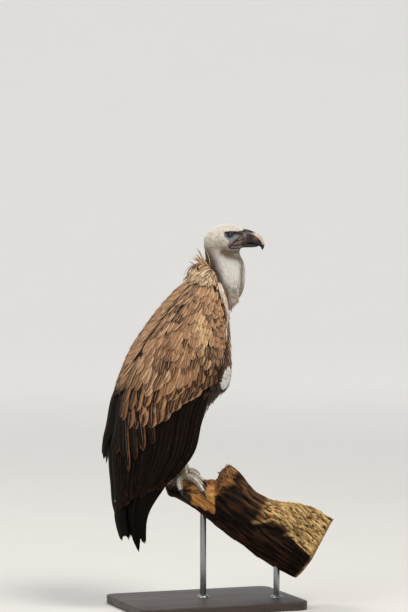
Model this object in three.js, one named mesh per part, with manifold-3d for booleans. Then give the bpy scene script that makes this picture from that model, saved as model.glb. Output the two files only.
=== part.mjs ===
// A griffon vulture, life size, perched on the broken upper end of a fallen limb, on a plain display stand.
// Millimetres, +Z up. The bird faces +X and its right side is towards -Y.
// The bird and its perch are drawn in a frame whose origin lies between the feet. The finished group
// is shifted so that its own origin is the centre of the underside of the base.

import * as THREE from 'three';
import { mergeVertices } from 'three/addons/utils/BufferGeometryUtils.js';
import Module from 'manifold-3d';

const wasm = await Module();
wasm.setup();

// ---------------------------------------------------------------- driving dimensions

const GAP = 0.3; // left between pieces that touch
const CUT_GAP = 0.5; // left where one piece is cut to fit another
const SMALLEST = 0.15; // slivers thinner than this are cleared after a cut
const HEADING = THREE.MathUtils.degToRad(-20); // the way the head and the perch point, about Z
const HEAD_OFFSET = 20; // head's middle plane from the one through the feet, across the heading

// The feathered body as level slices: height above the feet, back, front, half width.
const BODY = [
  [545, -22, 60, 60],
  [515, -49, 74, 92],
  [470, -90, 80, 114],
  [420, -130, 84, 127],
  [365, -169, 90, 132],
  [305, -200, 92, 129],
  [265, -216, 80, 123],
  [230, -228, 42, 117],
  [180, -238, 28, 107],
  [100, -250, 10, 92],
  [20, -246, -70, 78],
  [-60, -234, -132, 60],
  [-158, -194, -142, 36],
];
const BODY_SQUARENESS = 2.3; // 2 is an ellipse
// The trunk inside the wings, as slices of the same kind. It also keeps inside the wings' layers.
const TRUNK = [
  [546, -24, 60, 48],
  [470, -92, 78, 120],
  [365, -170, 80, 130],
  [305, -196, 66, 124],
  [245, -196, 40, 104],
  [190, -188, 0, 78],
  [145, -176, -56, 50],
  [118, -164, -104, 26],
];
const TRUNK_TURNS = [0, 6, 11, 28, 46, 64, 82, 100, 116, 132, 148, 164, 180];
// The neck, from inside the head down into the trunk: height, nape, throat, half width.
const NECK = [
  [648, 28, 92, 16],
  [622, 12, 101, 26],
  [600, 10, 105, 31],
  [580, 14, 114, 35],
  [556, 26, 118, 37],
  [530, 36, 116.5, 38],
  [505, 43, 112, 38],
  [482, 46, 102, 39],
  [452, 46, 80, 41],
];
// The head: distance ahead, underside, crown, half width.
const HEAD = [
  [8.5, 618, 640, 8],
  [14, 606, 650, 17],
  [25, 597, 662.5, 24.5],
  [44, 593, 673.5, 30],
  [66, 594, 679, 31.5],
  [84, 600, 677.5, 29.5],
  [100, 610, 672.5, 24],
  [112, 616.5, 669, 19],
  [123, 618.5, 664, 15],
];
const HEAD_SQUARENESS = 2.25;
const EYE = { ahead: 78.5, up: 651, aside: 19.5, radius: 8 };
const EYE_SOCKET = { aside: 37, radius: 14.5 };

// Bills: middle line ahead and up, half height, half width.
const BILL_UPPER = [
  [116, 646, 18.5, 14.5],
  [128, 644, 17.5, 14],
  [139, 640, 16.3, 12.2],
  [149, 634.5, 13.6, 9.6],
  [156, 627.5, 9.4, 6.6],
  [159.3, 620, 5, 3.8],
  [159, 611.5, 0.9, 0.9],
];
const BILL_LOWER = [
  [100, 622.5, 6, 13],
  [118, 623, 5.4, 11.5],
  [133, 622.5, 4.6, 9],
  [144, 622.3, 3.2, 6],
  [150, 622.5, 1.2, 2.4],
];

const SHOULDER_FRONT = 128; // degrees from the middle of the back round to a wing's leading edge
const COVERTS = { from: 13, depth: 0, thick: 12 };
const SECONDARIES = { from: 8, to: 121, depth: 12 + GAP, thick: 8, tucked: 46 };
const PRIMARIES = { from: 67, to: 124, depth: 20 + 2 * GAP, thick: 7 };
// Height of the tips of the coverts at each turn from the middle of the back.
const COVERT_EDGE = [
  [8, 84],
  [47, 64],
  [66, 78],
  [83, 126],
  [100, 170],
  [116, 230],
  [128, 276],
];
const TRUNK_DEPTH = { back: 3, coverts: 15.5, secondaries: 24 };
const LAYER_ROWS = 1.4; // above 1, the rows of a layer lie closer together towards its top
const TIP_TAPER = 0.32; // how thin the layers of feathers are at the wing tips, against 1 above the feet

const TAIL = { top: 117, bottom: -124, rootHalf: 26, tipHalf: 37, arch: 12, thick: 9 };
// The line down the middle of the tail: height, place ahead.
const TAIL_LINE = [
  [117, -172],
  [60, -204],
  [0, -219],
  [-60, -225],
  [-124, -211],
];

// The perch slopes down along the heading. Its slices lie square to the slope:
// distance down the slope, underside, upper side, half width.
const PERCH_SLOPE = THREE.MathUtils.degToRad(35);
const PERCH = [
  [-86, -40, 20, 46],
  [-62, -48, 50, 60],
  [-20, -50, 78, 68],
  [30, -50, 96, 71],
  [80, -54, 86, 74],
  [120, -57, 77, 77],
  [160, -57, 78, 80],
  [215, -56, 108, 84],
  [263, -54, 132, 88],
  [330, -48, 142, 92],
];
const LEDGE_TILT = 0.19; // rise of the broken ledge across the heading
const LEDGE_LEVEL = 9;

const FEET_LEVEL = 300; // above the underside of the base
const BASE = { length: 450, width: 310, height: 22, corner: 28, bevel: 3 };
const BASE_CENTRE = { x: 12, y: -14 };
const ROD = { radius: 8, sides: 16 };
const RODS = [
  { name: 'stand_rod_back', ahead: 8, reach: -20 },
  { name: 'stand_rod_front', ahead: 196, reach: -150 },
];

// ---------------------------------------------------------------- materials

const finish = (color, roughness, metalness = 0) =>
  new THREE.MeshStandardMaterial({ color, roughness, metalness });
const COLOURS = {
  down: 0xe6dccb,
  ruff: 0xc9a67c,
  brown: 0x8a6545,
  dark: 0x2b211c,
  bill: 0x3b3634,
  eye: 0x1d120c,
  scales: 0xa59a8c,
  claw: 0x1f1b19,
  wood: 0x5a4433,
  base: 0x2a2522,
  steel: 0x8f9194,
};

// ---------------------------------------------------------------- helpers

// A smooth curve through rows whose first number rises or falls steadily. It gives the other
// numbers of the row at any value of the first.
function between(rows) {
  const sign = Math.sign(rows[1][0] - rows[0][0]);
  const slope = (i, k) => {
    const a = rows[Math.max(i - 1, 0)];
    const b = rows[Math.min(i + 1, rows.length - 1)];
    return (b[k] - a[k]) / (b[0] - a[0]);
  };
  return (at) => {
    let i = 0;
    while (i < rows.length - 2 && sign * (at - rows[i + 1][0]) > 0) i += 1;
    const span = rows[i + 1][0] - rows[i][0];
    const t = THREE.MathUtils.clamp((at - rows[i][0]) / span, 0, 1);
    const rise = t * t * (3 - 2 * t);
    const leave = t * (1 - t) * (1 - t) * span;
    const arrive = t * t * (t - 1) * span;
    return rows[i].slice(1).map((value, j) => {
      const k = j + 1;
      const next = rows[i + 1][k];
      return value + rise * (next - value) + leave * slope(i, k) + arrive * slope(i + 1, k);
    });
  };
}

// Carries every corner of a geometry to the place that `put` gives, then closes it and faces it outwards.
function reshape(geometry, put) {
  const place = geometry.getAttribute('position');
  const corner = new THREE.Vector3();
  for (let i = 0; i < place.count; i += 1) {
    corner.fromBufferAttribute(place, i);
    const moved = put(corner);
    place.setXYZ(i, moved.x, moved.y, moved.z);
  }
  return closed(geometry);
}

function closed(geometry) {
  geometry.deleteAttribute('normal');
  geometry.deleteAttribute('uv');
  const whole = mergeVertices(geometry, 1e-3);
  const corners = whole.index.array;
  if (volume(whole) < 0) {
    for (let i = 0; i < corners.length; i += 3) {
      [corners[i + 1], corners[i + 2]] = [corners[i + 2], corners[i + 1]];
    }
  }
  return whole;
}

function volume(geometry) {
  const place = geometry.getAttribute('position');
  const corners = geometry.index.array;
  const [a, b, c] = [new THREE.Vector3(), new THREE.Vector3(), new THREE.Vector3()];
  let sum = 0;
  for (let i = 0; i < corners.length; i += 3) {
    a.fromBufferAttribute(place, corners[i]);
    b.fromBufferAttribute(place, corners[i + 1]);
    c.fromBufferAttribute(place, corners[i + 2]);
    sum += a.dot(b.cross(c)) / 6;
  }
  return sum;
}

// A round-ended rod of rings: `put` gets how far along it is (0 to 1), the turn round it, and 1 on its
// skin or 0 at the middle of an end.
function rings(count, sides, put) {
  const rod = new THREE.CylinderGeometry(1, 1, 1, sides, count);
  return reshape(rod, (corner) => {
    const turn = Math.atan2(corner.z, corner.x);
    const reach = Math.min(1, Math.hypot(corner.x, corner.z));
    return put(0.5 - corner.y, turn, reach);
  });
}

const rounded = (value, squareness) => Math.sign(value) * Math.abs(value) ** (2 / squareness);

// A solid from a table of slices. `put` turns (first number, sideways, between the two edges) into a place.
function sliced(rows, count, sides, squareness, put) {
  const slice = between(rows);
  const first = rows[0][0];
  const last = rows[rows.length - 1][0];
  return rings(count, sides, (along, turn, reach) => {
    const at = THREE.MathUtils.lerp(first, last, along);
    const [low, high, half] = slice(at);
    const across = (reach * (high - low)) / 2;
    const sideways = reach * half * rounded(Math.sin(turn), squareness);
    return put(at, sideways, (low + high) / 2 + across * rounded(Math.cos(turn), squareness));
  });
}

// From ahead, aside (to the left) and up along the heading, to the bird's own axes.
function headed(ahead, aside, up) {
  const c = Math.cos(HEADING);
  const s = Math.sin(HEADING);
  return new THREE.Vector3(c * ahead - s * aside, s * ahead + c * aside, up);
}

const onHead = (ahead, aside, up) => headed(ahead, aside + HEAD_OFFSET, up);

// From the perch's slope to the bird's axes.
function onPerch(down, aside, out) {
  const c = Math.cos(PERCH_SLOPE);
  const s = Math.sin(PERCH_SLOPE);
  return headed(down * c + out * s, aside, out * c - down * s);
}

// A limb that follows points, with a radius at each.
function limb(points, radii, count, sides) {
  const path = new THREE.CatmullRomCurve3(points);
  const thickness = between(radii.map((radius, i) => [i / (radii.length - 1), radius]));
  const frames = path.computeFrenetFrames(count, false);
  return rings(count, sides, (along, turn, reach) => {
    const i = Math.round(along * count);
    const radius = reach * thickness(along)[0];
    return path
      .getPointAt(along)
      .addScaledVector(frames.normals[i], radius * Math.cos(turn))
      .addScaledVector(frames.binormals[i], radius * Math.sin(turn));
  });
}

function ball(centre, radius, wide, high) {
  return reshape(new THREE.SphereGeometry(radius, wide, high), (corner) => corner.clone().add(centre));
}

// ---------------------------------------------------------------- cutting

function solidOf(geometry) {
  return new wasm.Manifold(
    new wasm.Mesh({
      numProp: 3,
      vertProperties: new Float32Array(geometry.getAttribute('position').array),
      triVerts: new Uint32Array(geometry.index.array),
    }),
  );
}

function geometryOf(solid) {
  const mesh = solid.getMesh();
  const geometry = new THREE.BufferGeometry();
  geometry.setAttribute('position', new THREE.BufferAttribute(mesh.vertProperties, 3));
  geometry.setIndex(new THREE.BufferAttribute(mesh.triVerts, 1));
  return geometry;
}

// The same shape with its skin moved outwards by the gap that cut pieces keep.
function grown(geometry) {
  const bigger = geometry.clone();
  bigger.computeVertexNormals();
  const place = bigger.getAttribute('position');
  const normal = bigger.getAttribute('normal');
  for (let i = 0; i < place.count; i += 1) {
    place.setXYZ(
      i,
      place.getX(i) + CUT_GAP * normal.getX(i),
      place.getY(i) + CUT_GAP * normal.getY(i),
      place.getZ(i) + CUT_GAP * normal.getZ(i),
    );
  }
  return bigger;
}

// What is left of a piece, its largest part, when cutters are taken away from it.
function minus(geometry, ...cutters) {
  let solid = solidOf(geometry);
  for (const cutter of cutters) solid = solid.subtract(solidOf(cutter));
  const parts = solid.simplify(SMALLEST).decompose();
  parts.sort((a, b) => b.volume() - a.volume());
  return geometryOf(parts[0]);
}

// A piece cut back to leave the gap round its neighbours.
function clearOf(geometry, ...neighbours) {
  const cut = minus(geometry, ...neighbours.map(grown));
  const left = solidOf(cut);
  const touching = neighbours.filter((each) => left.intersect(solidOf(each)).volume() > 0);
  return touching.length ? minus(cut, ...touching) : cut;
}

// ---------------------------------------------------------------- head and neck

const head = {};
head.left = { side: 1 };
head.right = { side: -1 };
for (const half of [head.left, head.right]) {
  const at = (aside) => onHead(EYE.ahead, half.side * aside, EYE.up);
  half.eye = ball(at(EYE.aside), EYE.radius, 12, 8);
  half.socket = ball(at(EYE_SOCKET.aside), EYE_SOCKET.radius, 12, 8);
}

// A bill's slices are square to its middle line, which bends down to the tip.
function bill(rows, count, sides, squareness) {
  const path = new THREE.CatmullRomCurve3(rows.map(([ahead, up]) => new THREE.Vector3(ahead, 0, up)));
  const size = between(rows.map((row, i) => [i / (rows.length - 1), row[2], row[3]]));
  return rings(count, sides, (along, turn, reach) => {
    const middle = path.getPoint(along);
    const ahead = path.getTangent(along);
    const [high, wide] = size(along);
    const out = reach * high * rounded(Math.cos(turn), squareness);
    const aside = reach * wide * rounded(Math.sin(turn), squareness);
    return onHead(middle.x - ahead.z * out, aside, middle.z + ahead.x * out);
  });
}

head.billUpper = bill(BILL_UPPER, 9, 12, 2.1);
head.billLower = clearOf(bill(BILL_LOWER, 5, 10, 2.2), head.billUpper);
head.skull = clearOf(
  minus(sliced(HEAD, 10, 16, HEAD_SQUARENESS, onHead), head.left.socket, head.right.socket),
  head.left.eye,
  head.right.eye,
  head.billUpper,
  head.billLower,
);
const neck = clearOf(
  sliced(NECK, 8, 16, 2.1, (up, aside, ahead) => onHead(ahead, aside, up)),
  head.skull,
  head.billLower,
);

// ---------------------------------------------------------------- wings

const body = between(BODY);
const radians = THREE.MathUtils.degToRad;

// A place in the feathered body: turn is measured from the middle of the back, depth inwards.
function onBody(side, turn, up, depth) {
  const [back, front, half] = body(up);
  const thinner = THREE.MathUtils.mapLinear(THREE.MathUtils.clamp(up, -158, 20), -158, 20, TIP_TAPER, 1);
  const inwards = depth * thinner;
  const reach = (front - back) / 2 - inwards;
  const aside = (half - inwards) * rounded(Math.sin(turn), BODY_SQUARENESS);
  const ahead = (back + front) / 2 - reach * rounded(Math.cos(turn), BODY_SQUARENESS);
  return new THREE.Vector3(ahead, side * aside, up);
}

// A curved layer of feathers. `top` and `bottom` give its height at each turn, `thick` its thickness
// from how far it is round (0 to 1) and down (0 to 1).
function layer(side, shape, across, down) {
  const sheet = new THREE.BoxGeometry(1, 1, 1, across, down, 1);
  return reshape(sheet, (corner) => {
    const round = corner.x + 0.5;
    const low = 0.5 - corner.y;
    const turn = THREE.MathUtils.lerp(shape.from, shape.to, round);
    const up = THREE.MathUtils.lerp(shape.top(turn), shape.bottom(turn, round), low ** LAYER_ROWS);
    const inside = corner.z > 0 ? 0 : shape.thick(round, low);
    return onBody(side, radians(turn), up, shape.depth + inside);
  });
}

// Rounded feather tips along an edge: 0 at a tip, 1 between two.
const tips = (count, round) => 1 - Math.abs(Math.sin(Math.PI * count * round)) ** 0.6;

const edgeOfCoverts = between(COVERT_EDGE);
const covertEdge = (turn) => edgeOfCoverts(turn)[0];
const mantleTop = (turn) => 540 - 66 * Math.max(0, (turn - 50) / (SHOULDER_FRONT - 50)) ** 1.5;

function coverts(side) {
  return layer(
    side,
    {
      from: COVERTS.from,
      to: SHOULDER_FRONT,
      top: mantleTop,
      bottom: (turn, round) => covertEdge(turn) + 9 * tips(10, round),
      depth: COVERTS.depth,
      thick: (round, low) => COVERTS.thick * (1 - 0.55 * low ** 3),
    },
    20,
    6,
  );
}

function secondaries(side) {
  return layer(
    side,
    {
      from: SECONDARIES.from,
      to: SECONDARIES.to,
      top: (turn) => covertEdge(turn) + SECONDARIES.tucked,
      bottom: (turn, round) => -52 + 0.62 * turn + 10 * tips(10, round),
      depth: SECONDARIES.depth,
      thick: (round, low) => SECONDARIES.thick * (1 - 0.45 * low),
    },
    20,
    5,
  );
}

function primaries(side) {
  return layer(
    side,
    {
      from: PRIMARIES.from,
      to: PRIMARIES.to,
      top: (turn) => 64 + 0.5 * turn,
      bottom: (turn, round) => -151 + 46 * (2 * round - 1) ** 2 + 12 * tips(6, round),
      depth: PRIMARIES.depth,
      thick: (round, low) => PRIMARIES.thick * (1 - 0.3 * low),
    },
    12,
    5,
  );
}

const wings = [];
for (const [name, side] of [['left', 1], ['right', -1]]) {
  wings.push({
    name,
    side,
    coverts: coverts(side),
    secondaries: secondaries(side),
    primaries: primaries(side),
  });
}

// ---------------------------------------------------------------- ruff, trunk and tail

// A collar of long feathers round the foot of the neck, deepest and highest on the nape.
function collar() {
  const ring = new THREE.TorusGeometry(2, 1, 7, 16);
  return reshape(ring, (corner) => {
    const round = Math.atan2(corner.y, corner.x);
    const out = Math.hypot(corner.x, corner.y) - 2;
    const nape = (1 - Math.cos(round)) / 2;
    const ahead = 56 + (46 + out * (8 + 22 * nape)) * Math.cos(round);
    const aside = (46 + out * (12 + 12 * nape)) * Math.sin(round);
    const up = 480 + 84 * nape ** 1.1 + corner.z * (14 + 20 * nape);
    return onHead(ahead, aside, up);
  });
}

const ruff = clearOf(collar(), neck, ...wings.map((wing) => wing.coverts));

// The tail hangs between the wings, arched across, with its round end below their tips.
const tailLine = between(TAIL_LINE);
const tail = reshape(new THREE.BoxGeometry(2, 1, 1, 12, 4, 1), (corner) => {
  const low = 0.5 - corner.y;
  const half = THREE.MathUtils.lerp(TAIL.rootHalf, TAIL.tipHalf, low ** 0.6);
  const edge = TAIL.bottom + 16 * corner.x ** 2 + 8 * tips(6, (corner.x + 1) / 2);
  const up = THREE.MathUtils.lerp(TAIL.top, edge, low);
  const spine = tailLine(up)[0];
  const thick = TAIL.thick * (1 - 0.5 * low);
  return new THREE.Vector3(spine + TAIL.arch * corner.x ** 2 + thick * corner.z, corner.x * half, up);
});

// ---------------------------------------------------------------- perch

// Everything above an outline of (ahead, up) points, along the whole width of the perch.
function outlineCutter(outline, tilt) {
  const shape = new THREE.Shape(outline.map(([ahead, up]) => new THREE.Vector2(ahead, up)));
  const block = new THREE.ExtrudeGeometry(shape, { depth: 400, bevelEnabled: false });
  return reshape(block, (corner) => {
    const aside = corner.z - 200;
    return headed(corner.x, aside, corner.y + tilt * aside);
  });
}

// The break that the feet stand on, with the jagged lip of the whole limb beyond it.
const ledge = outlineCutter(
  [[-260, LEDGE_LEVEL], [43, LEDGE_LEVEL - 4], [50, 22], [62, 40], [76, 64], [70, 300], [-260, 300]],
  LEDGE_TILT,
);

// The near half of the upper side has rotted away down the slope, which leaves a long slanting face.
const trough = reshape(new THREE.BoxGeometry(1, 1, 1), (corner) => {
  const down = corner.x > 0 ? 420 : 146;
  const lip = 41 - 0.25 * (down - 276);
  const aside = corner.y > 0 ? 42 : -130;
  const edge = lip + 0.72 * (aside + 84);
  return onPerch(down, aside, corner.z > 0 ? 400 : edge);
});

const perch = minus(
  sliced(PERCH, 12, 20, 2.15, (down, aside, out) => {
    const grain = 2.4 * Math.sin(out * 0.13 + down * 0.021) + 1.6 * Math.sin(aside * 0.17 + down * 0.05);
    return onPerch(down, aside + grain, out + 0.6 * grain);
  }),
  ledge,
  trough,
);

// ---------------------------------------------------------------- legs

// Hip, knee and ankle of each leg in the bird's axes, then its foot joint and toes along the heading
// (ahead, aside, up): each toe runs from the joint through its arch to its end and the point of its claw.
const LEGS = [
  {
    name: 'left',
    hip: [-22, 50, 286],
    knee: [-42, 47, 212],
    ankle: [-62, 38, 112],
    joint: [-34, 22, 42],
    toes: [
      { arch: [-16, 30, 42], end: [-3, 34, 30], claw: [4, 36, 17] },
      { arch: [-14, 12, 36], end: [9, 6, 18], claw: [18, 4, 7] },
      { arch: [-32, 42, 37], end: [-30, 56, 27], claw: [-30, 65, 19] },
      { arch: [-50, 16, 36], end: [-63, 12, 20], claw: [-71, 10, 9] },
    ],
  },
  {
    name: 'right',
    hip: [-22, -50, 286],
    knee: [-42, -47, 212],
    ankle: [-66, -34, 112],
    joint: [-42, -42, 36],
    toes: [
      { arch: [-14, -56, 27], end: [8, -71, -1], claw: [15, -74, -17] },
      { arch: [-18, -41, 33], end: [6, -49, 12], claw: [17, -54, 2] },
      { arch: [-52, -54, 29], end: [-48, -62, 4], claw: [-41, -60, -13] },
      { arch: [-60, -38, 27], end: [-72, -32, 12], claw: [-79, -30, 2] },
    ],
  },
];
const THIGH_RADII = [38, 33, 17];
const TOE_START = 8; // from the middle of the foot joint
const SHANK_RADII = [13, 9.5, 12.5];
const TOE_RADII = [9, 8, 6.4];
const CLAW_RADII = [5, 3.4, 0.8];

function leg(plan) {
  const joint = headed(...plan.joint);
  const [hip, knee, ankle] = [plan.hip, plan.knee, plan.ankle].map((place) => new THREE.Vector3(...place));
  const shank = clearOf(
    limb([ankle, ankle.clone().lerp(joint, 0.5), joint], SHANK_RADII, 4, 10),
    perch,
  );
  const thigh = clearOf(limb([hip, knee, ankle.clone().lerp(knee, 0.2)], THIGH_RADII, 6, 14), shank);
  const toes = [];
  const claws = [];
  for (const toe of plan.toes) {
    const [arch, end, point] = [toe.arch, toe.end, toe.claw].map((place) => headed(...place));
    const start = joint.clone().addScaledVector(arch.clone().sub(joint).normalize(), TOE_START);
    toes.push(clearOf(limb([start, arch, end], TOE_RADII, 5, 8), shank, perch, ...toes));
    const bend = end.clone().lerp(point, 0.5).addScaledVector(end.clone().sub(arch).normalize(), 3.5);
    claws.push(clearOf(limb([end, bend, point], CLAW_RADII, 4, 6), toes[toes.length - 1], perch));
  }
  return { name: plan.name, shank, thigh, toes, claws };
}

const legs = LEGS.map(leg);

// How deep the trunk lies under the feathers at each turn and height.
function trunkDepth(turn, up) {
  const { back, coverts: under, secondaries: deeper } = TRUNK_DEPTH;
  const above = up - covertEdge(turn) - SECONDARIES.tucked;
  const covered = THREE.MathUtils.lerp(deeper, under, THREE.MathUtils.smoothstep(above, 12, 45));
  return THREE.MathUtils.lerp(back, covered, THREE.MathUtils.smoothstep(turn, 6, 11));
}

function trunkCore() {
  const own = between(TRUNK);
  const turns = between(TRUNK_TURNS.map((turn, i) => [i / (TRUNK_TURNS.length - 1), turn]));
  const top = TRUNK[0][0];
  const bottom = TRUNK[TRUNK.length - 1][0];
  return rings(12, 2 * (TRUNK_TURNS.length - 1), (along, angle, reach) => {
    const up = THREE.MathUtils.lerp(top, bottom, along);
    const turn = turns(Math.abs(angle) / Math.PI)[0];
    const depth = trunkDepth(turn, up);
    const [back, front, half] = body(up);
    const [ownBack, ownFront, ownHalf] = own(up);
    const low = Math.max(back + depth, ownBack);
    const high = Math.min(front - depth, ownFront);
    const wide = Math.min(half - depth, ownHalf);
    const across = ((high - low) / 2) * rounded(Math.cos(radians(turn)), BODY_SQUARENESS);
    const aside = wide * rounded(Math.sin(radians(turn)), BODY_SQUARENESS) * Math.sign(angle);
    return new THREE.Vector3((low + high) / 2 - reach * across, reach * aside, up);
  });
}

const trunk = clearOf(trunkCore(), neck, ruff, ...legs.map((each) => each.thigh));

// ---------------------------------------------------------------- stand

function standBase() {
  const { length, width, height, corner, bevel } = BASE;
  const [x, y] = [length / 2 - bevel, width / 2 - bevel];
  const plate = new THREE.Shape();
  plate.moveTo(-x + corner, -y);
  plate.lineTo(x - corner, -y);
  plate.absarc(x - corner, -y + corner, corner, -Math.PI / 2, 0);
  plate.lineTo(x, y - corner);
  plate.absarc(x - corner, y - corner, corner, 0, Math.PI / 2);
  plate.lineTo(-x + corner, y);
  plate.absarc(-x + corner, y - corner, corner, Math.PI / 2, Math.PI);
  plate.lineTo(-x, -y + corner);
  plate.absarc(-x + corner, -y + corner, corner, Math.PI, 1.5 * Math.PI);
  const solid = new THREE.ExtrudeGeometry(plate, {
    depth: height - 2 * bevel,
    bevelThickness: bevel,
    bevelSize: bevel,
    bevelSegments: 1,
    curveSegments: 4,
  });
  solid.translate(0, 0, bevel);
  return closed(solid);
}

// A rod stands on the base and meets the underside of the perch.
function standRod(rod) {
  const foot = BASE.height - FEET_LEVEL + GAP;
  const length = rod.reach - foot;
  const bar = new THREE.CylinderGeometry(ROD.radius, ROD.radius, length, ROD.sides);
  bar.rotateX(Math.PI / 2);
  const place = headed(rod.ahead, 0, foot + length / 2);
  return clearOf(reshape(bar, (corner) => corner.clone().add(place)), perch);
}

// ---------------------------------------------------------------- scene

const vulture = new THREE.Group();
vulture.position.set(-BASE_CENTRE.x, -BASE_CENTRE.y, FEET_LEVEL);

function add(group, name, geometry, material) {
  const mesh = new THREE.Mesh(geometry, material);
  mesh.name = name;
  group.add(mesh);
}

add(vulture, 'head', head.skull, finish(COLOURS.down, 0.9));
add(vulture, 'bill_upper', head.billUpper, finish(COLOURS.bill, 0.35));
add(vulture, 'bill_lower', head.billLower, finish(COLOURS.bill, 0.4));
add(vulture, 'eye_left', head.left.eye, finish(COLOURS.eye, 0.1));
add(vulture, 'eye_right', head.right.eye, finish(COLOURS.eye, 0.1));
add(vulture, 'neck', neck, finish(COLOURS.down, 0.95));
add(vulture, 'ruff', ruff, finish(COLOURS.ruff, 0.9));
add(vulture, 'trunk', trunk, finish(COLOURS.brown, 0.9));
add(vulture, 'tail', tail, finish(COLOURS.dark, 0.8));
for (const wing of wings) {
  add(vulture, `wing_${wing.name}_coverts`, wing.coverts, finish(COLOURS.brown, 0.85));
  add(vulture, `wing_${wing.name}_secondaries`, wing.secondaries, finish(COLOURS.dark, 0.8));
  add(vulture, `wing_${wing.name}_primaries`, wing.primaries, finish(COLOURS.dark, 0.8));
}
for (const each of legs) {
  add(vulture, `thigh_${each.name}`, each.thigh, finish(COLOURS.brown, 0.9));
  add(vulture, `shank_${each.name}`, each.shank, finish(COLOURS.scales, 0.7));
  each.toes.forEach((toe, i) => add(vulture, `toe_${each.name}_${i + 1}`, toe, finish(COLOURS.scales, 0.7)));
  each.claws.forEach((claw, i) => add(vulture, `claw_${each.name}_${i + 1}`, claw, finish(COLOURS.claw, 0.35)));
}
add(vulture, 'perch_log', perch, finish(COLOURS.wood, 0.9));
for (const rod of RODS) add(vulture, rod.name, standRod(rod), finish(COLOURS.steel, 0.4, 1));

const part = new THREE.Group();
part.add(vulture);
add(part, 'stand_base', standBase(), finish(COLOURS.base, 0.5));

export default part;
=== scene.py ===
"""A griffon vulture, life size, perched on the broken end of a weathered limb, on a display stand.

Shapes are worked out in millimetres from the point between the feet, with +X the way the body faces,
+Y its left and +Z up. `metres` carries them to the frame of the CAD part.
"""

import math

import bmesh
import bpy
import numpy as np
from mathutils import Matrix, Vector, noise


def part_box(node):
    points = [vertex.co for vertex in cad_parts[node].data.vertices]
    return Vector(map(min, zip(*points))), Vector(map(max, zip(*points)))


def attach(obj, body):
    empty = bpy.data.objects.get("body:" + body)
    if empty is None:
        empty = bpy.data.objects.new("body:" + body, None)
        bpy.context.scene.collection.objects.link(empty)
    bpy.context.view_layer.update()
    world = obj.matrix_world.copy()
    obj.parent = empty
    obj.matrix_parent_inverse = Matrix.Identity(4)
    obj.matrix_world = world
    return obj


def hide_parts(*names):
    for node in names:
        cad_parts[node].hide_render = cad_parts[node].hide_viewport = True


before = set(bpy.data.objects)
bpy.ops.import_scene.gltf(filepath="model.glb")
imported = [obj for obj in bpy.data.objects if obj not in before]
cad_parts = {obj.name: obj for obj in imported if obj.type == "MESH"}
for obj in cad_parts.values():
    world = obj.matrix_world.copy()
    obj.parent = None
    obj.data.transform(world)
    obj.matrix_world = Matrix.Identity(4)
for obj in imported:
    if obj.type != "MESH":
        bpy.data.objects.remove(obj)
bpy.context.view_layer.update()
RNG = np.random.default_rng(20)


# ---------------------------------------------------------------- driving dimensions

MM = 0.001
HEADING = math.radians(-20)  # the way the head and the perch point, about Z
HEAD_OFFSET = 20  # head's middle plane from the one through the feet, across the heading
PERCH_SLOPE = math.radians(35)
EYE = {"ahead": 78.5, "aside": 19.5, "up": 651, "radius": 8}
OPENING = {"ahead": 77.6, "up": 650.2, "long": 7.6, "high": 4.9, "tilt": 0.12}  # between the eyelids
LID_SPIN = 4  # radius of the ring that the eyelids are spun from, before they are put in place

# The feathered body as level slices: height, back, front, half width.
BODY = [
    (545, -22, 60, 60), (515, -51, 67, 92), (470, -94, 68, 114), (420, -136, 70, 127),
    (365, -176, 75, 132), (305, -206, 77, 129), (265, -221, 70, 123), (230, -231, 40, 117),
    (180, -238, 28, 107), (100, -250, 10, 92), (20, -246, -70, 78), (-60, -234, -132, 60),
    (-158, -194, -142, 36),
]
BODY_SQUARENESS = 2.3
TIP_TAPER = 0.32  # share of the coat's depth left at the lowest slice
TAPER_TOP = 20  # height up to which the coat thins
# The neck: height, nape, throat, half width.
NECK = [
    (648, 28, 92, 16), (622, 12, 101, 26), (600, 10, 105, 31), (580, 14, 114, 35),
    (556, 26, 118, 37), (530, 36, 117, 38), (505, 43, 112.5, 37), (485, 46, 103, 34),
    (468, 46, 90, 28), (452, 46, 72, 20),
]
# The head: distance ahead, underside, crown, half width.
HEAD = [
    (8.5, 618, 640, 8), (14, 606, 650, 17), (25, 597, 662.5, 24.5), (44, 593, 673.5, 30),
    (66, 594, 679, 31.5), (84, 600, 677.5, 29.5), (100, 610, 672.5, 24), (112, 616.5, 669, 19),
    (123, 618.5, 664, 15),
]
HEAD_SQUARENESS, NECK_SQUARENESS = 2.25, 2.1
# Bills: middle line ahead and up, half height, half width.
BILL_UPPER = [
    (108, 647, 17, 13), (116, 646, 18.5, 14.5), (128, 644, 17.5, 14), (139, 640, 16.3, 12.2),
    (149, 634.5, 13.6, 9.6), (156, 627.5, 9.4, 6.6), (159.3, 620, 5, 3.8), (159, 611.5, 0.9, 0.9),
]
BILL_LOWER = [
    (96, 622, 6, 13), (118, 623, 5.4, 11.5), (133, 622.5, 4.6, 9), (144, 622.3, 3.2, 6),
    (150, 622.5, 1.2, 2.4),
]
SHOULDER_FRONT = 128  # degrees from the middle of the back round to a wing's leading edge
# Height of the tips of the greater coverts at each turn from the middle of the back.
COVERT_TIPS = [
    (4, 280), (9, 256), (14, 222), (21, 188), (29, 176), (40, 172), (50, 170), (60, 170), (70, 172),
    (80, 191), (88, 216), (96, 242), (104, 264), (112, 279), (120, 288), (128, 295),
]
INNER_EDGE = {1: 4, -1: 17.5}  # turn where each wing's coverts begin; the right wing leaves a gap
# Height where the feathers of the wings begin, at each turn.
MANTLE_TOP = [(0, 520), (60, 517), (85, 508), (98, 496), (108, 470), (118, 446), (128, 430)]
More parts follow.
